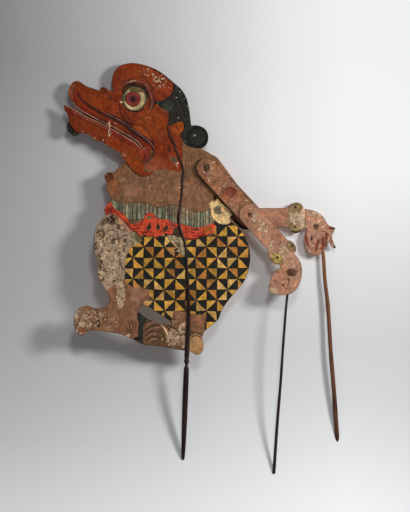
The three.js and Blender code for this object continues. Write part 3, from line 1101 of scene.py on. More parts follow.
@dataclass
class HideSheet:
    """A sheet of rawhide cut to its CAD outline, painted alike on both sides.

    Attributes:
        node: The CAD node that it stands for.
        body: The body that it rides on.
        ground: The paint under everything else.
        slot: The record's material slot.
        grid: The spacing of points inside areas.
        edge: How far the cut edge is rounded.
        bow: How far it is bent out of flat.
        seed: The seed of its random draws and of its bend.
        marks: What is painted on it, in the order in which it is laid.
        spots: Where it is worn or tinted.
    """

    node: str
    body: str
    ground: Paint
    slot: str = "painted_hide"
    grid: float = 4.2
    edge: float = 0.4
    bow: float = 0.0
    seed: int = 1
    marks: list = field(default_factory=list)
    spots: list[Spot] = field(default_factory=list)

    # Over what distance a bend runs
    BEND_REACH = 60

    # How far in a row of points follows the edge, and how far the points inside areas stray
    INSET = 1.5
    STRAY = 1.2

    # How wide the rim is that the material darkens, how far from the edge it is looked for, and how much
    # of a tint the cut edge takes
    RIM = 0.8
    RIM_SEARCH = 3.0
    EDGE_TINT = 0.3

    def curl(self, at: np.ndarray) -> np.ndarray:
        """How far the sheet is bent out of flat at points.

        Args:
            at: The points.

        Returns:
            The distance in depth at each.
        """
        if not self.bow:
            return np.zeros(len(at))
        places = at / self.BEND_REACH
        return self.bow * np.array([noise.noise(Vector((x, z, self.seed))) for x, z in places])

    def shaped(self, outline: np.ndarray) -> np.ndarray:
        """The sheet's outline as it is shown."""
        return outline

    def pattern(self, loops: list[np.ndarray]) -> tuple[np.ndarray, np.ndarray]:
        """Cuts the sheet into triangles along everything painted on it.

        Args:
            loops: The edges of the flat face, the outline first.

        Returns:
            Points and triangles.
        """
        rng = np.random.default_rng(self.seed)
        points, edges = [], []

        def draw(line: np.ndarray, closed: bool) -> None:
            """Adds a line's points and the edges between them.

            Args:
                line: The line's points.
                closed: Whether its last point joins its first.
            """
            first = len(points)
            points.extend(line.tolist())
            last = len(points) - 1
            edges.extend((i, i + 1) for i in range(first, last))
            if closed:
                edges.append((last, first))

        for loop in loops:
            draw(loop, True)
            inner = loop - self.INSET * sideways(loop, True)
            points.extend(inner[inside(inner, loops[0])].tolist())
        for mark in self.marks:
            for line in mark.lines():
                draw(line, False)
        low, high = loops[0].min(0), loops[0].max(0)
        across, up = np.meshgrid(np.arange(low[0], high[0], self.grid), np.arange(low[1], high[1], self.grid))
        free = np.column_stack([across.ravel(), up.ravel()])
        free += rng.uniform(-self.STRAY, self.STRAY, free.shape)
        free = free[inside(free, loops[0])]
        points.extend(free.tolist())
        for spot in self.spots:
            for share in (0.3, 0.62, 0.9, 1.2) if spot.paint is None else ():
                around = np.array(ring((spot.x, spot.z), spot.radius * share, count=round(5 + 8 * share)))
                points.extend(around[inside(around, loops[0])].tolist())
        found = delaunay_2d_cdt([Vector(p) for p in points], edges, [], 0, 1e-4, False)
        at = np.array([list(v) for v in found[0]])
        triangles = np.array([t for t in found[2] if len(t) == 3])
        a, b, c = (at[triangles[:, k]] for k in range(3))
        area = (b[:, 0] - a[:, 0]) * (c[:, 1] - a[:, 1]) - (c[:, 0] - a[:, 0]) * (b[:, 1] - a[:, 1])
        triangles[area < 0] = triangles[area < 0][:, ::-1]
        middle = (a + b + c) / 3
        keep = inside(middle, loops[0])
        for hole in loops[1:]:
            keep &= ~inside(middle, hole)
        triangles = triangles[keep]
        used, triangles = np.unique(triangles, return_inverse=True)
        return at[used], triangles.reshape(-1, 3)

    def build(self, material: bpy.types.Material) -> bpy.types.Object:
        """Makes the sheet and dresses it.

        Args:
            material: Its material.

        Returns:
            The sheet.
        """
        low, high = (np.array(v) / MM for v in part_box(self.node))
        middle, half = (low[1] + high[1]) / 2, (high[1] - low[1]) / 2
        outlines = []
        for loop in cut_loops(self.node):
            around = np.linalg.norm(loop - np.roll(loop, 1, axis=0), axis=1).sum()
            outlines.append(flowing(list(map(tuple, loop)), min(EDGE_STEP, around / 18), True, 40))
        outlines[0] = self.shaped(outlines[0])
        loops = [loop - self.edge * sideways(loop, True) for loop in outlines]
        at, triangles = self.pattern(loops)
        count = len(at)
        colour = np.tile(np.array(self.ground.linear), (len(triangles), 1))
        centres = at[triangles].mean(1)
        for mark in self.marks:
            mark.lay(centres, colour)
        press = np.zeros(count)
        for mark in self.marks:
            if isinstance(mark, Stroke):
                press = np.maximum(press, mark.depth(at))
        directed = {}
        for t in triangles:
            for a, b in ((t[0], t[1]), (t[1], t[2]), (t[2], t[0])):
                directed[(a, b)] = True
        rim_edges = [(a, b) for a, b in directed if (b, a) not in directed]
        out = np.zeros((count, 2))
        for a, b in rim_edges:
            edge = at[b] - at[a]
            normal = np.array([edge[1], -edge[0]]) / max(np.linalg.norm(edge), 1e-9)
            out[a] += normal
            out[b] += normal
        rim = np.unique(rim_edges)
        press[rim] = 0
        out[rim] /= np.maximum(np.linalg.norm(out[rim], axis=1), 0.3)[:, None]
        e = self.edge
        rounds = [(0.6 * e, half - 0.2 * e), (e, half - 0.9 * e)]
        steps = [(o, -y) for o, y in rounds] + [(e, 0.0)] + [(o, y) for o, y in rounds[::-1]]
        bend = self.curl(at)
        vertices = [np.column_stack([at[:, 0], middle - half + press + bend, at[:, 1]])]
        vertices.append(np.column_stack([at[:, 0], middle + half - press + bend, at[:, 1]]))
        number = {v: i for i, v in enumerate(rim)}
        for o, y in steps:
            edge = at[rim] + o * out[rim]
            vertices.append(np.column_stack([edge[:, 0], middle + y + bend[rim], edge[:, 1]]))
        faces = [list(t) for t in triangles] + [[t[0] + count, t[2] + count, t[1] + count] for t in triangles]
        walls = []
        for a, b in rim_edges:
            ladder = [(a, b)]
            for k in range(len(steps)):
                base = 2 * count + k * len(rim)
                ladder.append((base + number[a], base + number[b]))
            ladder.append((a + count, b + count))
            for (a0, b0), (a1, b1) in zip(ladder, ladder[1:], strict=False):
                walls.append([a0, a1, b1, b0])
        made = piece(self.node + "_painted", np.vstack(vertices), faces + walls)
        self.attributes(made, at, rim, len(steps), colour, outlines, len(walls))
        place(made, self.node, self.body, self.slot, material)
        return made

    def attributes(
        self,
        made: bpy.types.Object,
        at: np.ndarray,
        rim: np.ndarray,
        steps: int,
        colour: np.ndarray,
        outlines: list[np.ndarray],
        walls: int,
    ) -> None:
        """Writes paint, wear and rim on the mesh for the material to read.

        Args:
            made: The sheet.
            at: The places of the points of one face.
            rim: The numbers of those on the edge.
            steps: How many rings the edge has.
            colour: The paint of each triangle.
            outlines: The sheet's outline and holes.
            walls: How many faces the cut edge has.
        """
        worn = np.zeros(len(at))
        tint = np.zeros((len(at), 4))
        for spot in self.spots:
            far = np.hypot(at[:, 0] - spot.x, at[:, 1] - spot.z) / spot.radius
            share = spot.strength * np.clip((SPOT_REACH - far) / SPOT_FADE, 0, 1)
            if spot.paint is None:
                worn = np.maximum(worn, share)
            else:
                stronger = share > tint[:, 3]
                tint[stronger, :3] = spot.paint.linear
                tint[stronger, 3] = share[stronger]
        near = np.full(len(at), self.RIM_SEARCH)
        for loop in outlines:
            far, _ = away_from(at, np.vstack([loop, loop[:1]]), self.RIM_SEARCH)
            near = np.minimum(near, far)
        margin = np.clip(1 - (near - self.edge) / self.RIM, 0, 1)
        mesh = made.data
        for name, face, edge in (("wear", worn, worn[rim]), ("rim", margin, np.ones(len(rim)))):
            layer = mesh.attributes.new(name, "FLOAT", "POINT")
            layer.data.foreach_set("value", np.concatenate([face, face, *[edge] * steps]).astype(np.float32))
        paint = np.vstack([colour, colour, np.tile(CUT_EDGE.linear, (walls, 1))])
        loops = np.zeros(len(mesh.loops), int)
        mesh.loops.foreach_get("vertex_index", loops)
        sizes = np.array([p.loop_total for p in mesh.polygons])
        corner = np.repeat(paint, sizes, axis=0)
        whole = np.vstack([tint, tint, *[tint[rim] * [1, 1, 1, self.EDGE_TINT]] * steps])[loops]
        corner = corner * (1 - whole[:, 3:]) + whole[:, :3] * whole[:, 3:]
        corner = np.column_stack([corner, np.ones(len(corner))]).astype(np.float32)
        layer = mesh.attributes.new("paint", "FLOAT_COLOR", "CORNER")
        layer.data.foreach_set("color", corner.ravel())


# The painted sheets: first the lines that several marks follow, along the mouth, the belt and the sash

LIP_EDGE = [
    (-161, 522), (-157, 515.6), (-149, 508.3), (-138.6, 502.6), (-123, 494.2), (-109, 487.6), (-97, 481.6),
    (-80, 471.8), (-67, 463.4), (-60.5, 455.5), (-57.6, 450.6),
]
JAW_EDGE = [
    (-173, 517.5), (-160, 511.4), (-149, 505.6), (-137, 498.8), (-123, 492.4), (-110, 486), (-98, 479.4),
    (-81, 469.4), (-68, 461.4), (-62, 454.5), (-59.3, 449),
]
LIP_FOLD = [
    (-153, 536), (-150, 530), (-146, 524), (-138, 517), (-126, 509.7), (-113.5, 503), (-101, 497), (-84, 487),
    (-72, 478), (-59, 469), (-49, 461), (-44, 453), (-44, 445), (-49, 438), (-56, 430), (-56, 425),
    (-53, 420), (-47, 419), (-42, 422),
]
BELT_TOP = [
    (-105, 380), (-97.7, 376.8), (-88.4, 374.2), (-77, 373.9), (-62.6, 375), (-55, 373.8), (-48.7, 372),
    (-43.4, 369), (-33.5, 367.7), (-26, 369.3), (-18.3, 372), (-5, 369.4), (2, 367.6), (10.2, 364.4),
    (19, 362), (28, 360.7), (34.7, 362.8), (39, 366.2), (41.4, 374),
]
BELT_FOOT = [
    (-104, 372.4), (-99.7, 366), (-92.4, 361.6), (-85.8, 357), (-81, 351.4), (-70, 350), (-58, 350),
    (-38, 351.6), (-27.5, 350.8), (-18.3, 348.2), (-11.6, 345), (-1, 342.9), (12, 339.4), (21.5, 338.2),
    (29.4, 339.3), (36, 341.5), (42.7, 344.4), (46, 352),
]
SASH_TOP = [
    (-106.5, 376.4), (-103, 372), (-99.7, 366), (-92.4, 361.6), (-85.8, 357), (-81.4, 351.4), (-78.6, 346.4),
    (-75.2, 343), (-69.9, 343.8), (-62, 346.2), (-57.4, 350), (-56.7, 354.8), (-54, 358.8), (-48.7, 360.4),
    (-43.4, 358.4), (-40.6, 354.8), (-36.8, 351.2), *BELT_FOOT[8:17],
]
SASH_FOOT = [
    (-113.5, 364), (-112, 357), (-103, 359.2), (-96.4, 356), (-89.7, 350), (-84.4, 344.9), (-79, 339.5),
    (-76.4, 335), (-69.9, 332.6), (-66, 328.6), (-62.6, 326), (-57, 328), (-50, 324.2), (-44.7, 325.8),
    (-39.4, 324), (-33.5, 326), (-27, 329.4), (-18, 327.6), (-11, 329.6), (-3, 329), (2.2, 322.4),
    (9.5, 320.8), (18.8, 321.2), (25.5, 324), (33.4, 325.8), (40, 327.6), (44.4, 330), (46, 337), (48, 341.5),
]


def ringed(centre: Point, radius: float, face: Paint, line: Paint, hole: float = 1.5) -> list:
    """A round ornament with an outline, an inner ring and a dark middle.

    Args:
        centre: Its middle.
        radius: Its size.
        face: Its paint.
        line: The paint of its lines.
        hole: The size of its dark middle.

    Returns:
        What is painted, in order.
    """
    return [
        Patch(face, ring(centre, radius)),
        Stroke(line, ring(centre, radius - 0.6, count=24), 1.1, closed=True),
        Stroke(line, ring(centre, radius * 0.62, count=20), 0.7, closed=True),
        Patch(line, ring(centre, hole + 1.1, count=14)),
        Patch(INK, ring(centre, hole, count=14)),
    ]


def flecks(paint: Paint, *places: tuple[float, float, float]) -> list[Patch]:
    """Small uneven patches, each by its place and size.

    Args:
        paint: Their paint.
        places: Where each lies and its size.

    Returns:
        The patches.
    """
    made = []
    for x, z, size in places:
        turns = [2 * math.pi * k / 8 for k in range(8)]
        reach = [1.15 * size * (1 + 0.45 * math.sin(3 * t + x) + 0.25 * math.cos(2 * t + z)) for t in turns]
        points = [(x + r * math.cos(t), z + 0.8 * r * math.sin(t)) for r, t in zip(reach, turns, strict=True)]
        made.append(Patch(paint, points, corner=100))
    return made


def fan(paint: Paint, start: Points, end: Points, count: int, width: float, **more: float) -> list[Stroke]:
    """Strokes spread evenly from one line to another with as many points.

    Args:
        paint: Their paint.
        start: The first stroke's line.
        end: The last stroke's line.
        count: How many strokes there are.
        width: Their width.
        more: What else a stroke takes.

    Returns:
        The strokes.
    """
    a, b = np.array(start, float), np.array(end, float)
    shares = np.linspace(0, 1, count)
    return [Stroke(paint, [tuple(p) for p in a + (b - a) * s], width, **more) for s in shares]


@dataclass
class BodySheet(HideSheet):
    """Head, trunk, cloth, legs and feet, cut from one sheet.

    Attributes:
        check_corner: The upper left corner of the checked cloth's grid.
        check_pitch: The size of one check across and down.
        check_count: How many checks its grid has across and down.
        check_stray: How far the grid's corners stray.
        check_line: How far an ochre triangle's corners are drawn in from the check's.
        check_light: How dark and how light a triangle can be.
        stripe: The repeat of the belt's stripes.
        stripe_width: How narrow and how wide a stripe can be, as a share of its usual width.
        stripe_light: How dark and how light it can be.
        shade_flap_reach: How far the lip runs on behind the jaw, as a flap painted black for the shade in the
            mouth's slit.
    """

    node: str = "body_sheet"
    body: str = "figure"
    ground: Paint = TORSO
    bow: float = 0.3
    seed: int = 3
    check_corner: Point = (-88.05, 341.2)
    check_pitch: Point = (15.25, 15.55)
    check_count: tuple[int, int] = (12, 11)
    check_stray: float = 0.5
    check_line: float = 0.85
    check_light: Point = (0.72, 1.15)
    stripe: float = 5.8
    stripe_width: Point = (0.45, 1.5)
    stripe_light: Point = (0.5, 1.35)
    shade_flap_reach: float = 2.4

    def __post_init__(self) -> None:
        """Collects everything painted on the sheet, in the order in which it is laid."""
        self.marks = [*self.face(), *self.mouth(), *self.eye(), *self.hair(), *self.trunk(), *self.hip()]
        self.marks += [*self.legs(), *self.checks(), *self.tail(), *self.belt(), *self.sash(), *self.knot()]
        self.marks += self.feet()
        self.spots = [*self.wear(), *self.tints()]

    def shaped(self, outline: np.ndarray) -> np.ndarray:
        """The outline, with the lip carried on behind the jaw as a flap that takes the painted shade in the
        mouth's slit.

        Args:
            outline: The solid's outline.

        Returns:
            The outline that is shown.
        """
        far, share = away_from(outline, np.array(LIP_EDGE, float), 3)
        reach = self.shade_flap_reach * np.clip((share - 0.15) / 0.15, 0, 1) * np.clip((0.95 - share) / 0.1, 0, 1)
        return outline + (reach * (far < 1.5))[:, None] * sideways(outline, True)

    def face(self) -> list:
        """The red of the head, its folds and the ornaments behind the jaw.

        Returns:
            What is painted, in order.
        """
        red = [
            (-190, 600), (30, 600), (30, 500), (2, 470), (-1, 440), (-1, 421), (-10, 420), (-26, 423),
            (-42, 421), (-60, 425), (-85, 432), (-190, 440),
        ]
        cheek = [
            (-93, 520), (-91, 507), (-85, 495), (-73, 489), (-60, 486), (-51, 477), (-45, 466), (-41, 456),
        ]
        return [
            Patch(FACE, red),
            Patch(FACE_LIGHT, [*cheek[3:7], (-52, 466), (-62, 474), (-72, 482)]),
            Stroke(INK, cheek, 1.4),
            Stroke(FACE_DEEP, [(-86, 508), (-82, 500), (-76, 495), (-68, 495), (-60, 500)], 1.6),
            Stroke(INK, [(-41, 514), (-36, 505), (-29, 500), (-22, 497)], 1.0),
            Stroke(FACE_DEEP, [(-52, 503), (-46, 498), (-43, 490)], 1.4),
            Stroke(INK, [(-57, 508), (-52, 503), (-46, 506), (-47, 511)], 0.9),
            Stroke(INK, [(-66, 497), (-56, 495), (-48, 499)], 0.8),
            Stroke(INK, [(-116, 540), (-111, 534), (-106, 528), (-102, 525)], 1.3),
            Stroke(INK, [(-102, 525), (-98, 522), (-96, 525), (-99, 527.5)], 0.9),
            Stroke(FACE_DEEP, [(-123, 543), (-117, 540), (-112, 541)], 1.0),
            Stroke(FACE_LIGHT, [(-165, 526), (-164, 540), (-157, 549), (-146, 549), (-132, 543)], 2.4),
            Patch(FACE_DEEP, [(-23.5, 453), (-20, 459), (-15.5, 453), (-19, 446.5)]),
            Patch(FACE_DEEP, ring((-28.3, 453.5), 1.7, count=12)),
            Stroke(INK, [(-21, 486), (-18, 474), (-13, 463), (-8, 452)], 1.2),
        ]

    def mouth(self) -> list:
        """The lip band with its pale edge line, the fold above it, and the painted shade in the mouth's slit.

        Returns:
            What is painted, in order.
        """
        fold = LIP_FOLD[5:12]
        band = [*LIP_EDGE, (-50, 452), *LIP_FOLD[11::-1]]
        return [
            Patch(LIP, band),
            Stroke(FACE, beside(LIP_FOLD[:12], 4.6), 1.6),
            Stroke(FACE_DEEP, beside(LIP_FOLD[:12], 2.6), 2.2),
            Stroke(INK, LIP_FOLD, 2.3),
            Stroke(MAUVE, beside(fold, -2.1), 1.3),
            Stroke(INK, beside(fold, -3.7), 1.5),
            # Painted shade: black over the flap behind the jaw and the lip's very edge, where the mouth's
            # slit lies in shade
            Patch(INK, [*beside(LIP_EDGE[1:], 5), *beside(LIP_EDGE[1:], -0.2)[::-1]]),
            Stroke(HAND, beside(LIP_EDGE, -0.9), 1.2),
            Stroke(INK, beside(LIP_EDGE, -2.1), 0.8),
            Stroke(FACE_DEEP, beside(LIP_EDGE[2:], -3.8), 1.4),
            Stroke(CREAM, [(-107.5, 493), (-107, 488), (-106, 484)], 1.8),
            Stroke(CREAM, [(-101, 491), (-97, 489.5)], 1.0),
            Stroke(MAUVE, [(-161, 527), (-162, 536), (-159, 544), (-153, 549)], 1.2),
        ]

    def eye(self) -> list:
        """The round eye with its lids.

        Returns:
            What is painted, in order.
        """
        inner = [(-86, 543), (-80, 546.5), (-70, 548.5), (-58, 545), (-51, 534), (-48.5, 520), (-53, 507)]
        outer = [
            (-86, 545), (-80, 553), (-68, 558.5), (-53, 553), (-44, 539), (-41, 523), (-45, 509), (-53, 501),
        ]
        rim = [(-88, 531), (-86, 541), (-79, 545), (-71, 546.5), (-60, 543), (-53, 535), (-51, 526)]
        under = [(-81, 510), (-76, 508), (-71, 507.6), (-66, 507)]
        white = ring((-71, 525.6), 15.4, 15.9)
        iris = (-72.7, 525.4)
        return [
            Stroke(INK, outer, 1.6),
            *[Stroke(FACE_DEEP, beside(inner, -out), 1.4) for out in (2.4, 5.2)],
            Stroke(MAUVE, beside(inner, -3.8), 1.1),
            Stroke(CREAM, [(-79, 549.5), (-74, 551.5), (-68, 552.3)], 0.8),
            Stroke(INK, inner, 1.5),
            Patch(HAIR, ring((-70.8, 526), 18.6, 18.9)),
            Patch(EYE_OLIVE, ring((-70.6, 525.8), 17.4, 17.6)),
            Patch(EYE_WHITE, white),
            Patch(EYE_OLIVE, ring((-66, 538.5), 13, 3.6), within=white),
            Patch(EYE_OLIVE, ring((-85.5, 530), 2.6, 9), within=white),
            Stroke(INK, rim, 2.6, ends=0.4),
            Stroke(HAIR_GREY, [(-54, 532), (-53.5, 524), (-56, 516)], 1.4),
            Stroke(INK, under, 1.8),
            Stroke(INK, [(-67, 507), (-61, 508), (-57.5, 512)], 1.4),
            Patch(IRIS, ring(iris, 10.8)),
            Patch(IRIS_DEEP, ring((iris[0] - 0.6, iris[1] + 0.6), 7.2)),
            Stroke(INK, ring(iris, 10.8), 0.8, closed=True),
            Patch(FACE_DEEP, ring(iris, 4.4, count=20)),
            Patch(PUPIL, ring(iris, 3.2, count=20)),
            Patch(EYE_WHITE, ring((-89.5, 521), 2.3, 1.7, count=12)),
        ]

    def hair(self) -> list:
        """The hair, the ear set into it, and the bun.

        Returns:
            What is painted, in order.
        """
        front = [
            (-13, 556), (-14, 548), (-14, 540), (-15, 535), (-19, 529), (-26, 524), (-33, 522), (-40, 521),
            (-35, 517), (-28, 512), (-22, 508), (-20, 503), (-20, 497), (-22, 492), (-21, 486),
        ]
        ear = [
            (-18, 486), (-12, 491), (-7, 492), (-3, 494), (0, 492), (2, 485), (0, 479), (-3, 475), (-2, 468),
        ]
        nape = [(0, 464), (5, 459), (12, 456), (18, 455), (26, 454)]
        crown = [(-48, 572), (-29, 564), (-14, 552.5), (-2, 541), (6, 526), (11, 511), (13, 493)]
        bun = (21.5, 470)
        start = [(-36, 520), (-22, 517), (-12, 508), (-8, 498)]
        end = [(-12, 548), (-3, 534), (4, 516), (8, 498)]
        strands = fan(HAIR_BLACK, start, end, 4, 0.9, ends=0.1)
        return [
            Patch(HAIR, [*front, *ear, *nape, (60, 450), (60, 590), (-13, 590)]),
            *strands,
            Patch(CREAM, ring((-9.8, 527.4), 1.2, 0.8, count=8)),
            Patch(HAIR_GREY, ring((-3, 532.4), 2.0, 1.2, count=8)),
            Stroke(HAIR_BLACK, crown, 6.4, ends=0.1),
            Stroke(HAIR_BLACK, front, 1.8),
            Patch(HAIR_BLACK, ring((-38.5, 520.7), 3.0, 2.4, count=12)),
            Patch(HAIR_GREY, ring((-36.6, 520.7), 1.8, 1.5, count=12)),
            Patch(FACE_LIGHT, [*ear[:6], (-1, 479), (-6, 470), (-13, 474)]),
            Stroke(INK, ear, 1.6),
            Stroke(INK, [(-11, 490), (-9, 483), (-4, 477), (-6, 469)], 0.9),
            Stroke(FACE_DEEP, [(-3, 492), (-4, 486), (0, 482)], 0.8),
            Stroke(HAIR_BLACK, nape, 1.2),
            Patch(HAIR_BLACK, ring(bun, 16.5)),
            Patch(HAIR, ring((bun[0] - 0.8, bun[1] - 0.4), 11.6)),
            Patch(HAIR_GREY, [(13.6, 469.4), (18.4, 470.4), (20.4, 475.6), (15.2, 475)]),
            *flecks(BAND, (17, 472.4, 1.1), (6.3, 515.5, 0.9), (-7, 498, 0.9), (-4, 536, 0.8), (2, 526, 0.7)),
        ]

    def trunk(self) -> list:
        """The nipple, creases and scratches of the trunk.

        Returns:
            What is painted, in order.
        """
        nipple = [(-115, 413), (-111, 419), (-104, 418), (-99, 409), (-105, 407), (-112, 406)]
        dots = [(-7.5, 432.5), (-8.5, 431), (-5, 396), (2, 393)]
        return [
            Patch(NIPPLE, nipple),
            Patch(INK, [(-108, 417.4), (-103.4, 416), (-101, 410.4), (-105.6, 411)], corner=100),
            Stroke(TORSO_PINK, ring((-111, 412.4), 3.3, 3.0, count=14), 0.9, closed=True),
            Patch(INK, ring((-111, 412.4), 1.7, 1.6, count=10)),
            Stroke(BARE, [(-47, 401), (-49, 398), (-50, 395), (-46, 391)], 0.9),
            Stroke(BARE, [(-29, 379), (-32, 377.5), (-34, 379.5)], 0.9),
            Stroke(BARE, [(-1, 397), (1, 393.5)], 1.0),
            Stroke(BARE, [(-52, 419), (-51, 412), (-52, 405)], 1.0),
            Patch(TORSO, [(-20, 440), (-13, 443), (-7, 438), (-9, 431), (-16, 432)], light=0.6),
            Patch(HAIR_GREY, [(-16, 438.6), (-12, 439), (-12, 434.6), (-15, 434.6)]),
            *[Patch(CREAM, ring(at, 1.2, count=8)) for at in dots],
            Stroke(NIPPLE, [(3, 433), (4, 427), (3, 423)], 1.1),
            Stroke(NIPPLE, [(2, 413), (6, 411.6)], 1.5),
            Stroke(NIPPLE, [(22, 399), (26, 396), (24, 391), (28, 388)], 0.7),
        ]

    def belt(self) -> list:
        """The striped belt between the trunk and the sash.

        Returns:
            What is painted, in order.
        """
        belt = [*BELT_TOP, *BELT_FOOT[::-1]]
        marks = [Patch(BELT_PALE, belt)]
        cycle = [(BELT_GREEN, 0.34), (BELT_DARK, 0.2), (OLD_BROWN, 0.16)]
        rng = np.random.default_rng(self.seed)
        low, high = BELT_FOOT[0][0], BELT_FOOT[-1][0]
        for start in np.arange(low, high, self.stripe):
            x = start + rng.uniform(-0.9, 0.9)
            for paint, share in cycle:
                wide = self.stripe * share * rng.uniform(*self.stripe_width)
                lean = rng.uniform(-1.2, 1.2)
                quad = [(x, 385), (x + lean, 334), (x + lean + wide, 334), (x + wide, 385)]
                marks.append(Patch(paint, quad, within=belt, light=rng.uniform(*self.stripe_light)))
                x += wide + self.stripe * 0.07
        return [*marks, Stroke(INK, BELT_TOP, 1.0), Stroke(INK, BELT_FOOT, 0.9)]

    def sash(self) -> list:
        """The red sash below the belt, with its folds and leaves.

        Returns:
            What is painted, in order.
        """
        marks = [
            Patch(PINK, [(-97, 352), (-89, 352), (-83, 346), (-77, 338), (-78, 332), (-88, 338)]),
            Patch(OLD_BROWN, [(-82, 351), (-68, 350), (-62, 346), (-72, 340), (-80, 342)]),
            Patch(SASH, [(-111, 373), *SASH_TOP, (48, 341.5), *SASH_FOOT[::-1]]),
            Patch(SASH_DEEP, [(-113.5, 364), (-109, 369), (-104, 366), (-101, 360), (-112, 356)]),
            Patch(OLIVE, [(-54, 353), (-49, 356), (-44, 353), (-49, 350)]),
            Patch(SASH_GREEN, [(-14, 337), (-6, 340), (-2, 335), (0, 326), (-8, 324), (-15, 329)]),
        ]
        for x, z, size, tilt in ((-50, 339.5, 4.9, 0.4), (-37, 340, 4.6, -0.2), (-25.2, 338, 4.9, 0.5)):
            leaf = [
                (x + tilt * 5, z + size * 1.4), (x + size * 0.5, z + size * 0.5), (x + size * 0.9, z - 1),
                (x - tilt * 4, z - size * 1.3), (x - size * 0.8, z - 1.5), (x - size * 0.4, z + 1.5),
            ]
            marks.append(Patch(SASH_GREEN, leaf, corner=100))
            marks.append(Stroke(INK, [leaf[0], (x, z), leaf[3]], 1.3))
            marks.append(Stroke(INK, [(x - 3, z + 1.5), (x, z - 0.5), (x + 3, z + 0.6)], 1.0))
            marks.append(Stroke(OLIVE, [(x - 2.5, z - 2), (x - 1.5, z + 2)], 0.9))
        folds = [
            [(-84, 349), (-76, 338), (-66, 337), (-58, 345)], [(-74, 341), (-64, 343), (-57, 349)],
            [(-30, 349), (-20, 342), (-15, 334)], [(-34, 330), (-30, 337), (-31, 344)],
            [(8, 333), (22, 330), (38, 335)], [(12, 327), (24, 327), (36, 331)],
            [(-64, 333), (-54, 331), (-44, 333)], [(-107, 372), (-98, 361), (-88, 350)],
            [(-18, 345), (-12, 340), (-7, 340)], [(-60, 329), (-52, 335), (-44, 329)],
            [(-36, 334), (-27, 332), (-20, 333)],
        ]
        marks += [Stroke(SASH_DEEP, fold, 1.7) for fold in folds]
        marks += [
            Stroke(SASH_DEEP, beside(SASH_FOOT[20:27], -1.4), 2.0),
            Stroke(SASH_GREEN, [(11, 336.4), (17, 335.6), (23, 334.6)], 2.6),
            Patch(FACE_LIGHT, [(26, 336), (38, 339), (43, 341), (42, 334), (33, 331)]),
            Stroke(MAUVE, [(-21, 347), (-15, 344.6), (-12, 341)], 1.6),
            Stroke(SASH_DEEP, SASH_TOP[9:17], 1.0),
            Stroke(INK, SASH_FOOT[4:-2], 1.0),
            Patch(NIPPLE, [(-108, 354), (-103, 357), (-97, 354), (-95, 348), (-101, 346)], corner=100),
            Patch(SASH_GREEN, [(-117, 349), (-110, 354), (-107, 348), (-112, 344)], corner=100),
            Stroke(INK, [(-108, 350), (-97, 343), (-84, 335), (-78, 331)], 1.0),
        ]
        return marks

    def checks(self) -> list:
        """The cloth of black and ochre triangles.

        Returns:
            What is painted, in order.
        """
        cloth = [
            (-59, 328), (-73, 313), (-83, 295), (-84, 276), (-84, 260), (-77, 254), (-57, 249), (-48, 245),
            (-58, 233), (-61, 225), (-45, 216), (-27, 205), (-16, 200), (-14, 218), (10, 214), (34, 210),
            (31, 189), (60, 178), (112, 200), (132, 300), (112, 345), (74, 356), (46, 350), (44, 334),
            (30, 329), (1, 329), (-30, 330),
        ]
        rng = np.random.default_rng(self.seed + 1)
        columns, rows = self.check_count
        left, top = self.check_corner
        corners = {}
        for i in range(columns + 1):
            for j in range(rows + 1):
                dx, dz = rng.uniform(-self.check_stray, self.check_stray, 2)
                across, down = self.check_pitch[0] * i, self.check_pitch[1] * j
                corners[i, j] = np.array([left + across + dx, top - down + dz])
        marks = [Patch(CHECK_BLACK, cloth)]
        ochres = [OCHRE, OCHRE, OCHRE_PALE, OCHRE_DEEP]
        for i in range(columns):
            for j in range(rows):
                quad = [corners[i, j], corners[i + 1, j], corners[i + 1, j + 1], corners[i, j + 1]]
                missing = {(0, 0): 0, (1, 1): 2, (1, 0): 3, (0, 1): 1}[(i + 1) % 2, j % 2]
                triangle = np.array([c for k, c in enumerate(quad) if k != missing])
                middle = triangle.mean(0)
                away = np.linalg.norm(triangle - middle, axis=1)[:, None]
                triangle = triangle - (triangle - middle) / away * self.check_line
                paint = ochres[rng.integers(len(ochres))]
                points = [tuple(p) for p in triangle]
                light = rng.uniform(*self.check_light)
                marks.append(Patch(paint, points, within=cloth, light=light, corner=30))
        return marks

    def tail(self) -> list:
        """The sash's hanging end, and the worn place beside it.

        Returns:
            What is painted, in order.
        """
        end = [(-24, 327), (1, 327), (3, 312), (5, 291), (-4, 301), (-10, 308), (-17, 316)]
        return [
            Patch(TAIL, end),
            Patch(TAIL, [(-79, 331), (-66, 331), (-62, 322), (-66, 314), (-74, 311), (-80, 320)]),
            Patch(OLIVE, [(-70, 331), (-62, 327), (-60, 318), (-66, 316), (-70, 323)]),
            Stroke(MAUVE, [(-13, 318), (-7, 313), (-9, 306)], 2.4),
            Stroke(OCHRE, [(-18, 319), (-13, 313), (-9, 309)], 1.8),
            Stroke(INK, [(-20, 321), (-12, 320), (-6, 323)], 0.7),
            Stroke(INK, [(-10, 316), (-5, 310), (-3, 302)], 0.7),
            Stroke(CREAM, [(-4, 323), (-0.4, 316), (2, 306), (2.4, 299)], 2.2),
            Stroke(INK, [(-24, 327), (-17, 316), (-10, 308), (5, 291)], 0.9),
            Stroke(INK, [(-78, 330), (-72, 321), (-74, 313)], 0.8),
            Stroke(OLIVE, [(-19, 325), (-14, 321), (-8, 326)], 1.2),
            Stroke(OLIVE, [(-5, 321), (-6, 314), (-2, 309)], 1.2),
            *flecks(PINK, (-12, 323, 1.3), (-6, 318, 1.0), (-3, 310, 1.1), (-75, 326, 1.4), (-69, 316, 1.2)),
            *flecks(OLD_BROWN, (-16, 315, 1.3), (-8, 309.5, 1.1), (-2, 304, 1.2), (-77, 318, 1.4)),
        ]

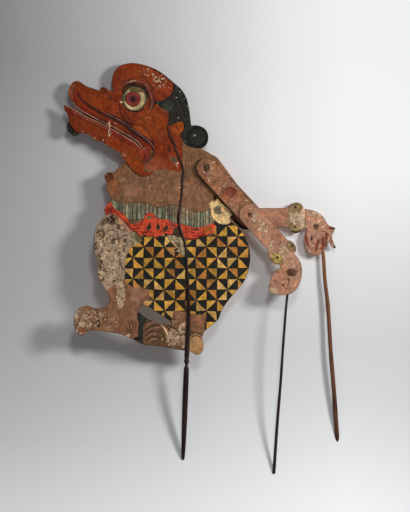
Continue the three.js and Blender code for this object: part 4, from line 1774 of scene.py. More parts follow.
    def hip(self) -> list:
        """What is left of the drawing on the flaked cloth over the hip.

        Returns:
            What is painted, in order.
        """
        area = [
            (-150, 356), (-114, 360), (-96, 352), (-83, 338), (-62, 328), (-84, 290), (-86, 262), (-104, 252),
            (-112, 240), (-150, 240),
        ]
        lines = [
            [(-104, 301), (-99, 304), (-97, 308)], [(-107, 292), (-104, 288)], [(-113, 296), (-111, 293.5)],
            [(-96, 272), (-92, 268)], [(-117, 272), (-113, 276), (-111, 272)],
            [(-118, 344), (-124, 335), (-127, 322)], [(-92, 322), (-86, 327), (-80, 326)],
            [(-103, 262), (-97, 264), (-92, 261)], [(-120, 300), (-117, 308)],
            [(-86, 300), (-83, 293), (-84, 286)], [(-110, 333), (-103, 336), (-98, 332)],
            [(-124, 345), (-129, 330), (-130, 318), (-128, 303)], [(-97, 340), (-90, 334), (-84, 333)],
            [(-122, 322), (-116, 318), (-113, 311)], [(-108, 325), (-102, 322), (-100, 316), (-104, 311)],
            [(-98, 300), (-92, 302), (-88, 298)], [(-123, 292), (-117, 288), (-115, 282)],
            [(-105, 284), (-99, 280)], [(-114, 352), (-107, 350), (-103, 344)],
            [(-96, 328), (-93, 320), (-95, 313)], [(-90, 283), (-87, 276)],
        ]
        blots = [
            ((-119, 330), (6, 7)), ((-113, 322), (4, 5)), ((-116, 345), (4, 3)), ((-120, 285), (3, 8)),
            ((-112, 277), (5, 4)), ((-99, 318), (6, 5)), ((-88, 306), (4, 4)), ((-103, 262), (5, 4)),
            ((-126, 312), (3, 6)), ((-104, 345), (5, 3)), ((-95, 290), (5, 3)), ((-117, 262), (4, 3)),
            ((-92, 340), (4, 3)), ((-122, 298), (3, 4)), ((-108, 304), (4, 3)), ((-84, 320), (3, 3)),
        ]
        return [
            Patch(OLD_GROUND, area),
            *[Patch(OLD_BROWN, ring(at, *size, count=14)) for at, size in blots],
            *[Stroke(INK, line, 1.5) for line in lines],
            *flecks(
                INK, (-97, 272, 2), (-115, 280, 1.6), (-108, 262, 1.5), (-122, 270, 1.6), (-91, 262, 1.4),
            ),
            *flecks(BARE, (-112, 301, 3), (-98, 285, 3.2), (-120, 318, 2.8), (-104, 331, 3), (-90, 312, 2.6)),
            Stroke(INK, ring((-85.5, 314.5), 4.0, count=16), 0.8, closed=True),
        ]

    def legs(self) -> list:
        """Both legs and the dark strip painted between the feet.

        Returns:
            What is painted, in order.
        """
        front = [
            (-190, 236), (-116, 240), (-108, 250), (-96, 256), (-84, 262), (-77, 254), (-57, 249), (-48, 245),
            (-58, 233), (-61, 225), (-66, 214), (-63, 180), (-60, 150), (-190, 150),
        ]
        rear = [(-62, 208), (-18, 198), (-14, 218), (10, 214), (34, 210), (40, 180), (50, 140), (-66, 140)]
        strip = [
            (-67, 215), (-57, 213), (-48, 208), (-54, 203), (-57, 196), (-58.5, 186), (-59, 172), (-60, 160),
            (-65, 160), (-65, 183), (-64, 196), (-66, 205),
        ]
        return [
            Patch(LEG, front),
            Patch(REAR_FOOT, rear),
            Patch(LEG, [(-15, 219), (10, 216), (36, 212), (32, 186), (14, 188), (-8, 194)]),
            Patch(STRIP, strip),
            Stroke(INK, [(-67, 214), (-64, 203), (-65, 188), (-64, 170)], 0.9),
        ]

    def feet(self) -> list:
        """Toes, nails and the heel.

        Returns:
            What is painted, in order.
        """
        toes = [
            [(-56, 199), (-45, 203.5), (-33, 203)], [(-55, 189), (-45, 195), (-33, 196)],
            [(-56, 180), (-48, 186), (-36, 188), (-32, 182)], [(-55, 173), (-45, 179), (-36, 179)],
            [(-76.5, 205), (-73, 199), (-72.4, 193.6), (-75.6, 188)], [(-80, 201), (-77, 195), (-78, 189)],
            [(-72, 204), (-69, 197), (-70, 188)], [(-84, 196), (-81, 191), (-83, 186)],
            [(-31, 184), (-27, 179), (-26, 172)], [(-22, 189), (-17, 193), (-10, 191)],
            [(10, 178), (18, 181), (27, 178)], [(8, 160), (14, 154), (24, 152)],
        ]
        between = [[(x + 1, z - 3) for x, z in toe] for toe in toes[:4]]
        return [
            Patch(HEEL, [(8, 178), (18, 184), (30, 178), (33, 164), (26, 150), (12, 152), (6, 166)]),
            Patch(NIPPLE, ring((-66.5, 176.5), 5.0, 3.4, count=14), light=0.5),
            *[Stroke(TORSO_PINK, line, 1.5) for line in between],
            *[Stroke(NIPPLE, toe, 1.3) for toe in toes],
            Stroke(NIPPLE, [(-122, 210), (-124.5, 204), (-123, 198), (-124, 192)], 4.2),
            *flecks(
                OLD_BROWN, (-150, 210, 3), (-143, 203, 2.6), (-136, 212, 2.6), (-130, 199, 3),
                (-154, 198, 2.4),
            ),
            *flecks(
                MARGIN, (-140, 193, 2.8), (-116, 205, 2.8), (-149, 188, 2.2), (-126, 214, 2.2),
                (-107, 198, 2),
            ),
            *flecks(PINK, (-16, 183, 1.8), (-24, 190, 1.5), (-6, 178, 2), (-30, 176, 1.4), (-20, 168, 1.6)),
            *flecks(
                OCHRE_DEEP, (4, 170, 1.8), (-1, 186, 1.6), (-10, 195, 1.5), (24, 172, 1.6), (17, 158, 1.8),
            ),
            Stroke(CREAM, [(-32.6, 197), (-27, 192), (-23, 183), (-21, 176)], 2.2),
            Stroke(FACE_LIGHT, [(-148, 198), (-146, 190), (-149, 185)], 4.0),
        ]

    def knot(self) -> list:
        """The sash's pale knot behind the hip.

        Returns:
            What is painted, in order.
        """
        outline = [
            (38, 373), (43, 378), (48, 378), (51, 384), (64, 371), (69, 366), (75, 358), (71, 353), (69, 346),
            (63, 343), (57, 343), (50, 346), (44, 351), (41, 357), (40, 365),
        ]
        return [
            Patch(KNOT, outline),
            Patch(SMUDGE, [(44, 366), (50, 371), (57, 369), (55, 364), (59, 360), (52, 357), (46, 360)]),
            Stroke(NIPPLE, [(48, 368), (53, 364), (51, 358)], 0.9),
            Stroke(NIPPLE, [(45, 362), (50, 365), (58, 365)], 0.7),
            Stroke(SMUDGE, [(61, 368), (58, 361), (62, 354)], 0.8),
            Stroke(INK, [(50, 346), (44, 351), (41, 357), (39, 368)], 0.8),
        ]

    def wear(self) -> list[Spot]:
        """Where paint is lost.

        Returns:
            The spots.
        """
        lost = [
            (-45, 562, 15, 0.56), (-34, 550, 15, 0.6), (-26, 541, 10, 0.5), (-60, 565, 9, 0.4),
            (4, 540, 6, 0.35), (-92, 545, 6, 0.2), (-50, 498, 8, 0.3), (-35, 480, 8, 0.3), (-20, 440, 6, 0.3),
            (-118, 335, 20, 0.7), (-110, 312, 22, 0.7), (-105, 290, 22, 0.72), (-108, 268, 18, 0.78),
            (-92, 332, 12, 0.66), (-90, 300, 13, 0.7), (-97, 352, 7, 0.6), (-90, 275, 8, 0.74),
            (-92, 256, 8, 1.1), (-91, 246, 8, 1.2), (-90.5, 236, 8, 1.2), (-91, 226, 6, 1.1),
            (-150, 206, 18, 0.72), (-152, 190, 16, 0.72), (-136, 206, 18, 0.66), (-122, 204, 19, 0.62),
            (-108, 202, 18, 0.58), (-90, 186, 10, 0.3), (-10, 430, 5, 0.7), (-8, 424, 5, 0.45),
            (-45, 383, 12, 0.3), (-50, 416, 6, 0.35), (-16, 196, 11, 0.6), (-14, 178, 14, 0.86),
            (2, 172, 13, 0.82), (0, 192, 10, 0.72), (20, 205, 8, 0.35), (18, 165, 12, 0.45),
            (-40, 176, 8, 0.5), (60, 300, 14, 0.28), (70, 250, 12, 0.25), (-12, 305, 9, 0.5),
            (-70, 322, 8, 0.5), (30, 345, 7, 0.2), (-107, 486, 5, 0.4), (-64, 474, 4, 0.3),
            (-30, 470, 6, 0.25), (-108, 372, 5, 0.2), (-80, 181, 4, 0.8),
        ]
        return [Spot(*place) for place in lost]

    def tints(self) -> list[Spot]:
        """Where the colour drifts.

        Returns:
            The spots.
        """
        return [
            Spot(-60, 405, 40, 0.35, TORSO_PINK), Spot(-85, 432, 26, 0.25, NIPPLE),
            Spot(0, 380, 30, 0.4, TORSO_PINK), Spot(-22, 514, 9, 0.45, HAIR_GREY),
            Spot(39, 333, 8, 0.25, OCHRE_DEEP),
            Spot(-45, 492, 22, 0.5, FACE_LIGHT), Spot(16, 388, 17, 0.7, TORSO_PINK),
            Spot(-105, 400, 18, 0.3, FACE_LIGHT), Spot(-62, 236, 16, 0.5, HAND),
            Spot(-95, 480, 10, 0.3, FACE_LIGHT), Spot(-130, 528, 12, 0.2, FACE_LIGHT),
            Spot(-60, 562, 16, 0.3, FACE_LIGHT), Spot(-30, 480, 12, 0.3, FACE_LIGHT),
        ]


@dataclass
class LowerJaw(HideSheet):
    """The jaw, with the lower lip and the ring of the mouth's corner."""

    node: str = "lower_jaw"
    body: str = "jaw"
    slot: str = "painted_jaw"
    ground: Paint = FACE
    seed: int = 5

    def __post_init__(self) -> None:
        """Collects the jaw's paint."""
        corner = (-56.6, 443.5)
        lip = beside(JAW_EDGE, 8)
        curl = [
            (-61, 450), (-56.6, 453), (-51, 450), (-48.6, 443.5), (-52, 437), (-58, 436), (-63, 441),
            (-66, 446),
        ]
        self.marks = [
            Patch(LIP, [*JAW_EDGE, (-56, 452), *lip[::-1]]),
            Stroke(FACE_DEEP, beside(JAW_EDGE, 7.4), 1.1),
            Stroke(HAND, beside(JAW_EDGE, 1.0), 1.2),
            Stroke(FACE_DEEP, beside(JAW_EDGE, 2.4), 1.0),
            Stroke(MAUVE, beside(JAW_EDGE[1:7], 3.9), 0.9),
            Patch(IRIS, ring(corner, 8.6)),
            Patch(LIP, ring(corner, 6.2)),
            Stroke(CREAM, curl[:2] + [(-55.5, 456)], 1.0),
            Stroke(INK, curl, 1.0),
            Stroke(INK, [(-44, 453), (-43, 445), (-48, 437), (-54, 431), (-55, 425), (-51, 420)], 1.2),
            Stroke(CREAM, [(-106, 482), (-108, 477), (-107, 471)], 1.4),
            *fan(FACE_DEEP, [(-150, 489), (-146, 482)], [(-82, 449), (-78, 443)], 9, 0.9),
            *fan(BARE, [(-147, 480), (-145, 477)], [(-86, 444), (-83, 442)], 8, 1.0),
        ]
        self.spots = [
            Spot(-110, 474, 8, 0.35), Spot(-140, 485, 7, 0.3), Spot(-65, 452, 5, 0.4), Spot(-86, 443, 8, 0.5),
            Spot(-158, 508, 5, 0.35), Spot(-115, 462, 8, 0.4),
            Spot(-130, 488, 18, 0.25, FACE_LIGHT), Spot(-75, 440, 20, 0.35, FACE_LIGHT),
        ]


@dataclass
class ChinTuft(HideSheet):
    """The dark tuft of hair at the chin."""

    node: str = "chin_tuft"
    body: str = "jaw"
    slot: str = "dark_tuft"
    ground: Paint = HAIR
    seed: int = 6

    def __post_init__(self) -> None:
        """Collects the tuft's strands."""
        self.marks = fan(HAIR_BLACK, [(-168, 492), (-164, 478)], [(-152, 484), (-150, 468)], 6, 0.9)
        self.spots = [Spot(-158, 474, 6, 0.2)]


@dataclass
class UpperArm(HideSheet):
    """An upper arm, with the armlet where it shows; the arm behind has a black band round its lower edge,
    partly painted margin and partly painted shade.

    Attributes:
        shown: Whether it is the arm in front, with the armlet.
    """

    node: str = "front_upper_arm"
    body: str = "front_upper"
    ground: Paint = ARM
    seed: int = 8
    shown: bool = True

    def __post_init__(self) -> None:
        """Collects the arm's paint."""
        armlet = [
            (54, 383), (58, 386), (57, 391), (63, 393), (66, 397), (73, 395.5), (79, 391), (76, 386),
            (77, 381), (70, 380), (66, 376), (60, 379),
        ]
        self.marks = [
            Patch(ARMLET, armlet, corner=100),
            Patch(FACE_LIGHT, [(56, 384), (60, 388), (62, 385), (59, 381.5)], corner=100),
            Stroke(FACE_DEEP, [(58, 391), (65, 396), (74, 394), (78, 390)], 1.3),
            Stroke(FACE_DEEP, [(61, 389), (66, 391), (71, 388), (70, 383)], 0.9),
            Stroke(BARE, [(77.5, 385), (73, 381), (68, 378)], 1.0),
            Stroke(BARE, [(57, 397), (60, 400), (64, 404)], 1.0),
            Stroke(BARE, [(51, 389), (54, 386)], 0.8),
            Stroke(NIPPLE, [(46, 405), (52, 408), (57, 406)], 0.8),
        ]
        self.spots = [Spot(60, 370, 24, 0.35, FOREARM), Spot(45, 420, 16, 0.4, TORSO_PINK)]
        if not self.shown:
            # Painted shade and margin: a black band round the shoulder end, along the lower edge and under
            # the elbow of the arm behind, partly its own black margin and partly the shade that the arm in
            # front casts on it
            dark = [
                (33, 446), (20, 440), (14, 426), (19, 412.5), (80.5, 343), (87, 337.4), (96, 336.6),
                (106, 343),
            ]
            self.marks.append(Stroke(HAIR_BLACK, dark, 5.4, ends=0.6))
            self.marks.append(Stroke(MARGIN, [(44, 443), (56, 438), (109, 364)], 5, ends=0.6))
        if self.shown:
            self.marks.append(Stroke(MARGIN, [(36, 438.6), (45.5, 434.6), (107.8, 367)], 3.8, ends=0.3))
            self.spots += [
                Spot(35.2, 424.4, 8.5, 0.62), Spot(42, 432, 6, 0.6), Spot(44, 414, 6, 0.4),
                Spot(60, 398, 6, 0.3), Spot(84, 372, 9, 0.4), Spot(90, 362, 8, 0.3), Spot(52, 392, 5, 0.3),
                Spot(75, 350, 8, 0.25),
            ]
            self.marks += [
                Patch(NIPPLE, [(31, 430), (37, 431), (41, 426), (38, 420), (34, 417), (30, 422)], corner=100),
                *flecks(
                    BARE, (45.7, 433.9, 1.7), (41.5, 424, 1.5), (31.5, 419.3, 1.3), (41.1, 417.2, 1.5),
                    (38.2, 406.3, 1.7), (27.3, 446.8, 1), (53.2, 395.5, 1.1), (61.6, 398, 1.3),
                    (67.4, 412.2, 0.9), (92.5, 377.9, 1.4), (97.5, 369.6, 1.1), (74.9, 364.6, 1.5),
                    (40.5, 411, 1.2), (36.6, 409, 1), (70, 372, 0.9), (79, 369, 1.1), (56, 408, 0.8),
                ),
            ]


@dataclass
class FrontForearm(HideSheet):
    """The forearm in front, with its bracelet and closed hand."""

    node: str = "front_forearm"
    body: str = "front_fore"
    ground: Paint = FOREARM
    seed: int = 9

    def __post_init__(self) -> None:
        """Collects the forearm's paint."""
        upper, lower = [(120, 306), (136, 313), (156, 325)], [(136, 287), (151, 295), (168, 304)]
        self.marks = [
            Patch(HAND, [*upper, *lower[::-1]]),
            Stroke(MARGIN, upper, 0.6),
            Patch(HAND, [*lower, (190, 300), (190, 220), (110, 220), (118, 268)]),
            *ringed((136.9, 294.6), 8.6, GOLD, GOLD_DARK),
            *ringed((158.4, 311.6), 8.2, GOLD_BROWN, MARGIN),
            *flecks(
                BARE, (134, 301, 1.6), (141, 300, 1.4), (147, 309, 1.8), (152, 303, 1.5), (129, 297, 1.4),
                (107, 357, 1.3), (111, 349, 1.6), (103, 346, 1.3), (117, 345, 1.4), (113, 336, 1.7),
                (120, 333, 1.8), (116, 328, 1.4), (125, 322, 1.3), (99, 366, 1.2), (130, 318, 1.5),
                (150, 283, 1.4), (157, 288, 1.3), (147, 276, 1.1), (168, 270, 1.3), (163, 255, 1.0),
                (128, 250, 1.9), (124, 246, 1.7), (131, 242, 1.5), (138, 240, 1.0),
            ),
            Stroke(NIPPLE, [(146, 291), (143, 284), (133, 281), (127, 276)], 1.0),
            Stroke(NIPPLE, [(130, 262), (142, 256), (150, 248)], 0.8),
            Stroke(NIPPLE, [(152, 264), (154, 258), (151, 252)], 1.1),
            Patch(NIPPLE, ring((146, 255), 2.2, 1.6, count=12)),
            Patch(NIPPLE, ring((153, 262.5), 1.9, 1.5, count=12)),
        ]
        self.spots = [
            Spot(100, 362, 9, 0.62), Spot(108, 352, 12, 0.68), Spot(116, 338, 11, 0.66),
            Spot(121, 327, 9, 0.62), Spot(104, 340, 9, 0.5), Spot(128, 315, 10, 0.62),
            Spot(145, 303, 14, 0.7), Spot(158, 316, 9, 0.55), Spot(152, 290, 10, 0.68),
            Spot(160, 284, 9, 0.62), Spot(134, 246, 8, 0.74), Spot(127, 243, 5, 0.95),
            Spot(165, 262, 8, 0.45), Spot(124, 303, 6, 0.7), Spot(118, 360, 8, 0.4),
        ]


@dataclass
class RearForearm(HideSheet):
    """The forearm behind, with its bracelet and open hand."""

    node: str = "rear_forearm"
    body: str = "rear_fore"
    ground: Paint = FOREARM
    seed: int = 11

    def __post_init__(self) -> None:
        """Collects the forearm's paint."""
        fingers = [
            [(199, 322), (197, 312), (194, 302)], [(205, 326), (205, 314), (203, 303)],
            [(211, 331), (210, 318), (208, 309)], [(213, 336), (219, 337), (223, 338)],
            [(180, 331), (181, 320), (184, 310)], [(200, 334), (208, 332), (214, 326)],
            [(215, 322), (218, 315)],
        ]
        slit = [(187.5, 328), (189.3, 322.5), (188.2, 317.5), (186.4, 322)]
        self.marks = [
            Patch(BAND, [(153, 385), (182, 385), (180, 330), (155, 325)]),
            Stroke(GOLD_DARK, [(153, 380), (155, 352), (155, 325)], 1.0),
            Stroke(GOLD_DARK, [(179, 378), (178, 352), (177, 330)], 1.0),
            *fan(SMUDGE, [(157, 362), (166, 357), (176, 361)], [(157, 344), (166, 340), (176, 344)], 4, 0.9),
            Patch(HAND, [(179, 385), (240, 380), (240, 290), (176, 290), (178, 330)]),
            *ringed((163.7, 368.2), 10.6, GOLD_BROWN, MARGIN),
            *ringed((163.7, 339.2), 9.4, GOLD_BROWN, OLIVE),
            Patch(INK, [(155, 335), (158, 331.6), (164, 330.4), (170, 331.6), (172, 335), (164, 333)]),
            *flecks(BAND, (160, 350, 3.4), (168, 354, 3.8), (173, 347, 3), (164, 345, 2.4), (175, 357, 3)),
            *flecks(
                BARE, (157, 357, 1.6), (186, 364, 2.2), (193, 361, 2.6), (200, 357, 2), (206, 350, 1.8),
                (184, 352, 1.3), (198, 348, 1.4), (203, 340, 1.2), (190, 312, 1.2), (184, 303, 1.6),
            ),
            *[Stroke(ARMLET, [(x - 2, z + 1) for x, z in finger], 2.2) for finger in fingers[:5]],
            *[Stroke(NIPPLE, finger, 1.2) for finger in fingers],
            Patch(INK, slit, corner=100),
            Patch(INK, ring((222.5, 338), 2.6, 3.2, count=12)),
            Patch(INK, ring((223, 309.5), 3.0, 3.4, count=12)),
        ]
        self.spots = [
            Spot(166, 352, 12, 0.8), Spot(172, 342, 8, 0.72), Spot(188, 362, 10, 0.84),
            Spot(200, 357, 10, 0.7), Spot(208, 350, 8, 0.55), Spot(196, 346, 9, 0.6), Spot(184, 304, 5, 0.7),
            Spot(204, 330, 7, 0.4), Spot(130, 350, 26, 0.25, TORSO_PINK),
        ]


# Rods, thongs and thread


@dataclass
class ControlRod:
    """The split rod: a turned grip whose two prongs clamp the body sheet.

    Attributes:
        node: The CAD node that it stands for.
        body: The body that it rides on.
        tilt: The grip's lean towards +X in degrees.
        seat: The distance between the sheet's middle and a prong's inner face.
        thick: A prong's depth.
        sides: How many sides the grip's section has.
        profile: Height along the grip and its radius there.
        line: Where the prongs run, with their width.
        collar: Where the prongs run inside the collar, with their width.
        root: Heights over which a prong thins out from the collar, and its added depth at each.
        uneven: How much the grip's width varies in millimetres, and a prong's width as a share.
    """

    node: str = "control_rod"
    body: str = "figure"
    tilt: float = 2.1
    seat: float = 1.7
    thick: float = 1.6
    sides: int = 20
    profile: tuple[Point, ...] = (
        (0, 0.4), (0.6, 1.5), (2, 2.2), (3.5, 2.4), (8, 2.7), (20, 3.2), (45, 3.8), (75, 4.1), (105, 4.2),
        (122, 4.0), (131, 3.8), (134.6, 3.4), (136.6, 2.4), (139.5, 2.2), (141.2, 3.0), (143, 3.75),
        (145, 3.75), (146.6, 3.15), (149, 3.1), (150.6, 3.6), (152.5, 3.7), (157, 3.6), (160, 3.4),
    )
    line: tuple[tuple[float, float, float], ...] = (
        (5.8, 157, 6.8), (7, 182, 6.3), (8, 207, 5.7), (8, 233, 5.1), (7, 259, 4.6), (5.4, 284, 4.0),
        (4.6, 303, 3.6), (2, 319, 3.5), (-3, 333, 3.4), (-6, 347, 3.2), (-5.8, 358, 3.0), (-4, 370, 2.9),
        (-2, 383, 2.9), (-1, 397, 2.8), (-0.6, 411, 2.8), (1, 420, 2.7), (-2, 432, 2.4), (-9, 448, 2.2),
        (-15, 463, 2.0), (-19, 471, 1.9), (-23, 488, 1.2),
    )
    collar: tuple[tuple[float, float, float], ...] = ((5.5, 150, 5.6), (5.6, 153.5, 6.6))
    root: tuple[Point, ...] = ((150, 1.0), (157, 0.5), (168, 0))
    uneven: float = 0.12

    def grip(self) -> Skin:
        """The turned grip with its collar.

        Returns:
            Its vertices and faces.
        """
        shape = spline(np.array(self.profile), False, 5)
        lean = math.radians(self.tilt)
        path = np.column_stack([shape[:, 0] * math.sin(lean), 0 * shape[:, 0], shape[:, 0] * math.cos(lean)])
        wobble = np.array([self.uneven * noise.noise(Vector((0, 0, z / 14))) for z in shape[:, 0]])
        path[:, 0] += wobble * 2
        return swept(path, 2 * shape[:, 1] + wobble, 2 * shape[:, 1], self.sides)

    def prong(self, side: Side) -> Skin:
        """One prong, from inside the collar's top to its thin end.

        Args:
            side: The side of the sheet that it clamps.

        Returns:
            Its vertices and faces.
        """
        run = spline(np.array(self.line), False, 6)
        middle = side.value * (self.seat + self.thick / 2)
        run = np.vstack([self.collar, run])
        extra = np.interp(run[:, 1], *zip(*self.root, strict=True))
        depth = self.thick + extra
        path = np.column_stack([run[:, 0], np.full(len(run), middle) + side.value * extra / 2, run[:, 1]])
        noises = [noise.noise(Vector((side.value, 3.1, z / 9))) for z in run[:, 1]]
        uneven = self.uneven * np.array(noises)
        return swept(path, run[:, 2] * (1 + uneven), depth, 14)

    def build(self, material: bpy.types.Material) -> None:
        """Makes the rod and dresses it.

        Args:
            material: Its material.
        """
        vertices, faces = joined([self.grip(), self.prong(Side.FRONT), self.prong(Side.REAR)])
        made = piece(self.node + "_polished", vertices, faces)
        place(made, self.node, self.body, "control_rod", material)


@dataclass
class HandRod:
    """A rod that moves a hand, whittled flat at its upper end.

    Attributes:
        node: The CAD node that it stands for.
        body: The body that it rides on.
        slot: The record's material slot.
        top: The point where it is tied.
        turn: Its direction in degrees.
        length: Its length.
        bow: How far it bends to its side, by distance along it.
        widths: Its width at the top and near the tip.
        face: Where its flat face lies in depth.
        side: Which way it grows from there.
        swell: Where a grown knot in it lies, and how much wider it is there.
        flat: Its depth where it is whittled.
        flat_length: How far the whittling reaches before the rod deepens.
        rise: Over what length it deepens from there.
        eye: The radius of its round end, which the tie goes through.
        tip: The length of its rounded tip.
        depth_share: Its depth as a share of its width further down.
        uneven: How much its width varies, as a share.
    """

    node: str
    body: str
    slot: str
    top: Point
    turn: float
    length: float
    bow: Points
    widths: tuple[float, float]
    face: float
    side: Side
    swell: tuple[float, float] = (0, 0)
    flat: float = 2.0
    flat_length: float = 46
    rise: float = 40
    eye: float = 3.4
    tip: float = 4.0
    depth_share: float = 0.85
    uneven: float = 0.07

    def build(self, material: bpy.types.Material) -> None:
        """Makes the rod and dresses it.

        Args:
            material: Its material.
        """
        eye = -self.eye + np.array([0, 0.15, 0.5, 1.1, 2, 3, 4, 5, 6, 7.5])
        tip = self.length - self.tip * np.array([1, 0.5, 0.15, 0])
        s = np.concatenate([eye, np.arange(6, self.length - self.tip, 3.5), tip])
        bent = spline(np.array(self.bow, float), False, 12)
        off = np.interp(s, bent[:, 0], bent[:, 1])
        width = np.interp(s, [0, self.length], self.widths)
        disc = 2 * np.sqrt(np.maximum(self.eye**2 - s**2, 0))
        width = np.where(s < 0, disc, np.maximum(width, disc))
        uneven = np.array([noise.noise(Vector((self.length, x / 17, 0))) for x in s])
        width *= 1 + self.uneven * uneven * (s > 8)
        width *= 1 + self.swell[1] * np.exp(-(((s - self.swell[0]) / 5) ** 2))
        grown = np.clip((s - self.flat_length) / self.rise, 0, 1)
        depth = self.flat + (np.maximum(width * self.depth_share, self.flat) - self.flat) * grown
        end = np.clip((self.length - s) / self.tip, 0.05, 1) ** 0.6
        start = np.clip((s + self.eye) / 0.8, 0.1, 1) ** 0.5
        width, depth = np.maximum(width * end, 0.2), depth * end * start
        middle = self.face + self.side.value * np.maximum(depth, self.flat * 0.9) / 2
        along = np.array([math.cos(math.radians(self.turn)), math.sin(math.radians(self.turn))])
        across = np.array([-along[1], along[0]])
        flat = np.array(self.top) + s[:, None] * along + off[:, None] * across
        path = np.column_stack([flat[:, 0], middle, flat[:, 1]])
        vertices, faces = swept(path, width, depth, 16)
        made = piece(self.node + "_polished", vertices, outwards(vertices, faces))
        height = (vertices - vertices.min(0))[:, 2]
        along = np.clip(height / height.max() * 1.25 - 0.25, 0, 1) ** 1.3
        layer = made.data.attributes.new("along", "FLOAT", "POINT")
        layer.data.foreach_set("value", along.astype(np.float32))
        place(made, self.node, self.body, self.slot, material)


@dataclass(frozen=True)
class Knot:
    """A flattened knot at one end of a thong.

    Attributes:
        near: Where its face towards the sheet lies in depth.
        far: Where its outer face lies.
        radius: How far it reaches sideways.
        turn: How it is turned, in degrees.
    """

    near: float
    far: float
    radius: float
    turn: float = 0

    # The strip's width as a share of the knot's radius, and its thickness and its rise over itself as
    # shares of the knot's depth
    STRIP = 0.5
    THICK = 0.62
    RISE = 0.28

    def skin(self, x: float, z: float) -> Skin:
        """The strip, crossing itself three times.

        Args:
            x: The joint's place.
            z: The joint's height.

        Returns:
            Its vertices and faces.
        """
        t = np.linspace(0, 2 * np.pi, 73)[:-1] + math.radians(self.turn)
        strip, thick = self.radius * self.STRIP, abs(self.far - self.near)
        reach = self.radius - strip / 2
        path = np.column_stack([
            x + reach * (np.sin(t) + 2 * np.sin(2 * t)) / 3,
            (self.near + self.far) / 2 - thick * self.RISE * np.sin(3 * t),
            z + reach * (np.cos(t) - 2 * np.cos(2 * t)) / 3,
        ])
        return self.closed(path, strip, thick * self.THICK)

    @staticmethod
    def closed(path: np.ndarray, wide: float, thick: float) -> Skin:
        """A strip that returns to its start, lying flat in the figure's plane.

        Args:
            path: The path that it follows.
            wide: Its width.
            thick: Its thickness.

        Returns:
            Its vertices and faces.
        """
        along = np.roll(path, -1, axis=0) - np.roll(path, 1, axis=0)
        along /= np.linalg.norm(along, axis=1)[:, None]
        side = np.cross(along, [0, 1, 0])
        side /= np.linalg.norm(side, axis=1)[:, None]
        up = np.cross(side, along)
        turns = np.linspace(0, 2 * np.pi, 10, endpoint=False)
        rings = [path + math.cos(a) * side * wide / 2 + math.sin(a) * up * thick / 2 for a in turns]
        vertices = np.stack(rings, 1).reshape(-1, 3)
        return vertices, quads(len(path), len(turns), round_rows=True)


@dataclass
class KnottedThong:
    """A twisted strip of hide through a joint, knotted at both ends.

    Attributes:
        node: The CAD node that it stands for.
        at: The joint's place.
        knots: Its knots.
        spacers: Stretches where it is wound into a spacer, by depth.
        washer: The size of a square of hide under the front knot, if it has one.
        body: The body that it rides on.
        shank: The radius of the thong between its knots.
        wound: The radius of a spacer.
        strip: The width of a spacer's turns.
        tilt: How far the square of hide is turned, in degrees.
    """

    node: str
    body: str
    at: Point
    knots: list[Knot]
    spacers: list[tuple[float, float]] = field(default_factory=list)
    washer: tuple[float, float] | None = None
    shank: float = 1.15
    wound: float = 3.0
    strip: float = 1.25
    tilt: float = -5

    # How deep in a knot the thong ends, and how far a knot over a square of hide is moved out at its near
    # and far face, as shares of its depth; how much smaller that knot is
    TUCK = 0.6
    MOVED = (0.7, 0.9)
    SMALLER = 0.86

    def spacer(self, start: float, end: float) -> Skin:
        """The thong wound round itself between two sheets.

        Args:
            start: Where it starts in depth.
            end: Where it ends.

        Returns:
            Its vertices and faces.
        """
        turns = max(1.0, (end - start - self.strip) / self.strip)
        t = np.linspace(0, 2 * np.pi * turns, round(26 * turns))
        y = np.linspace(start + self.strip / 2, end - self.strip / 2, len(t))
        r = self.wound - 0.75
        path = np.column_stack([self.at[0] + r * np.cos(t), y, self.at[1] + r * np.sin(t)])
        return swept(path, 1.5, self.strip, 8)

    def patch(self, knot: Knot) -> Skin:
        """The square of hide that spreads the front knot's pull.

        Args:
            knot: The knot that it lies under, whose depth it shares.

        Returns:
            Its vertices and faces.
        """
        a, b = self.washer[0] / 2, self.washer[1] / 2
        count = 44
        tilt = math.radians(self.tilt)
        rings = []
        for share, depth in ((0.9, 0.1), (1.0, 0.35), (1.0, 0.6), (0.92, 0.85)):
            points = []
            for k in range(count):
                t = 2 * math.pi * k / count
                c, s = math.cos(t), math.sin(t)
                uneven = 1 + 0.05 * math.sin(3 * t + 1) + 0.03 * math.sin(5 * t)
                x = a * share * uneven * math.copysign(abs(c) ** 0.45, c)
                z = b * share * uneven * math.copysign(abs(s) ** 0.45, s)
                y = knot.near + (knot.far - knot.near) * depth
                across = self.at[0] + x * math.cos(tilt) - z * math.sin(tilt)
                points.append((across, y, self.at[1] + x * math.sin(tilt) + z * math.cos(tilt)))
            rings.append(np.array(points))
        return tube(rings)

    def build(self, material: bpy.types.Material) -> None:
        """Makes the thong and dresses it.

        Args:
            material: Its material.
        """
        ends = [k.near + (k.far - k.near) * self.TUCK for k in self.knots]
        y = np.linspace(min(ends), max(ends), 40)
        x = np.full(len(y), self.at[0])
        path = np.column_stack([x, y, np.full(len(y), self.at[1])])
        skins = [swept(path, 2 * self.shank, 2 * self.shank, 12)]
        skins += [self.spacer(*stretch) for stretch in self.spacers]
        for k in self.knots:
            if self.washer and k is self.knots[0]:
                skins.append(self.patch(k))
                near, far = (share * (k.far - k.near) for share in self.MOVED)
                k = Knot(k.near + near, k.far + far, k.radius * self.SMALLER, k.turn)
            skins.append(k.skin(*self.at))
        vertices, faces = joined(skins)
        made = piece(self.node + "_knotted", vertices, faces)
        place(made, self.node, self.body, "thong", material)


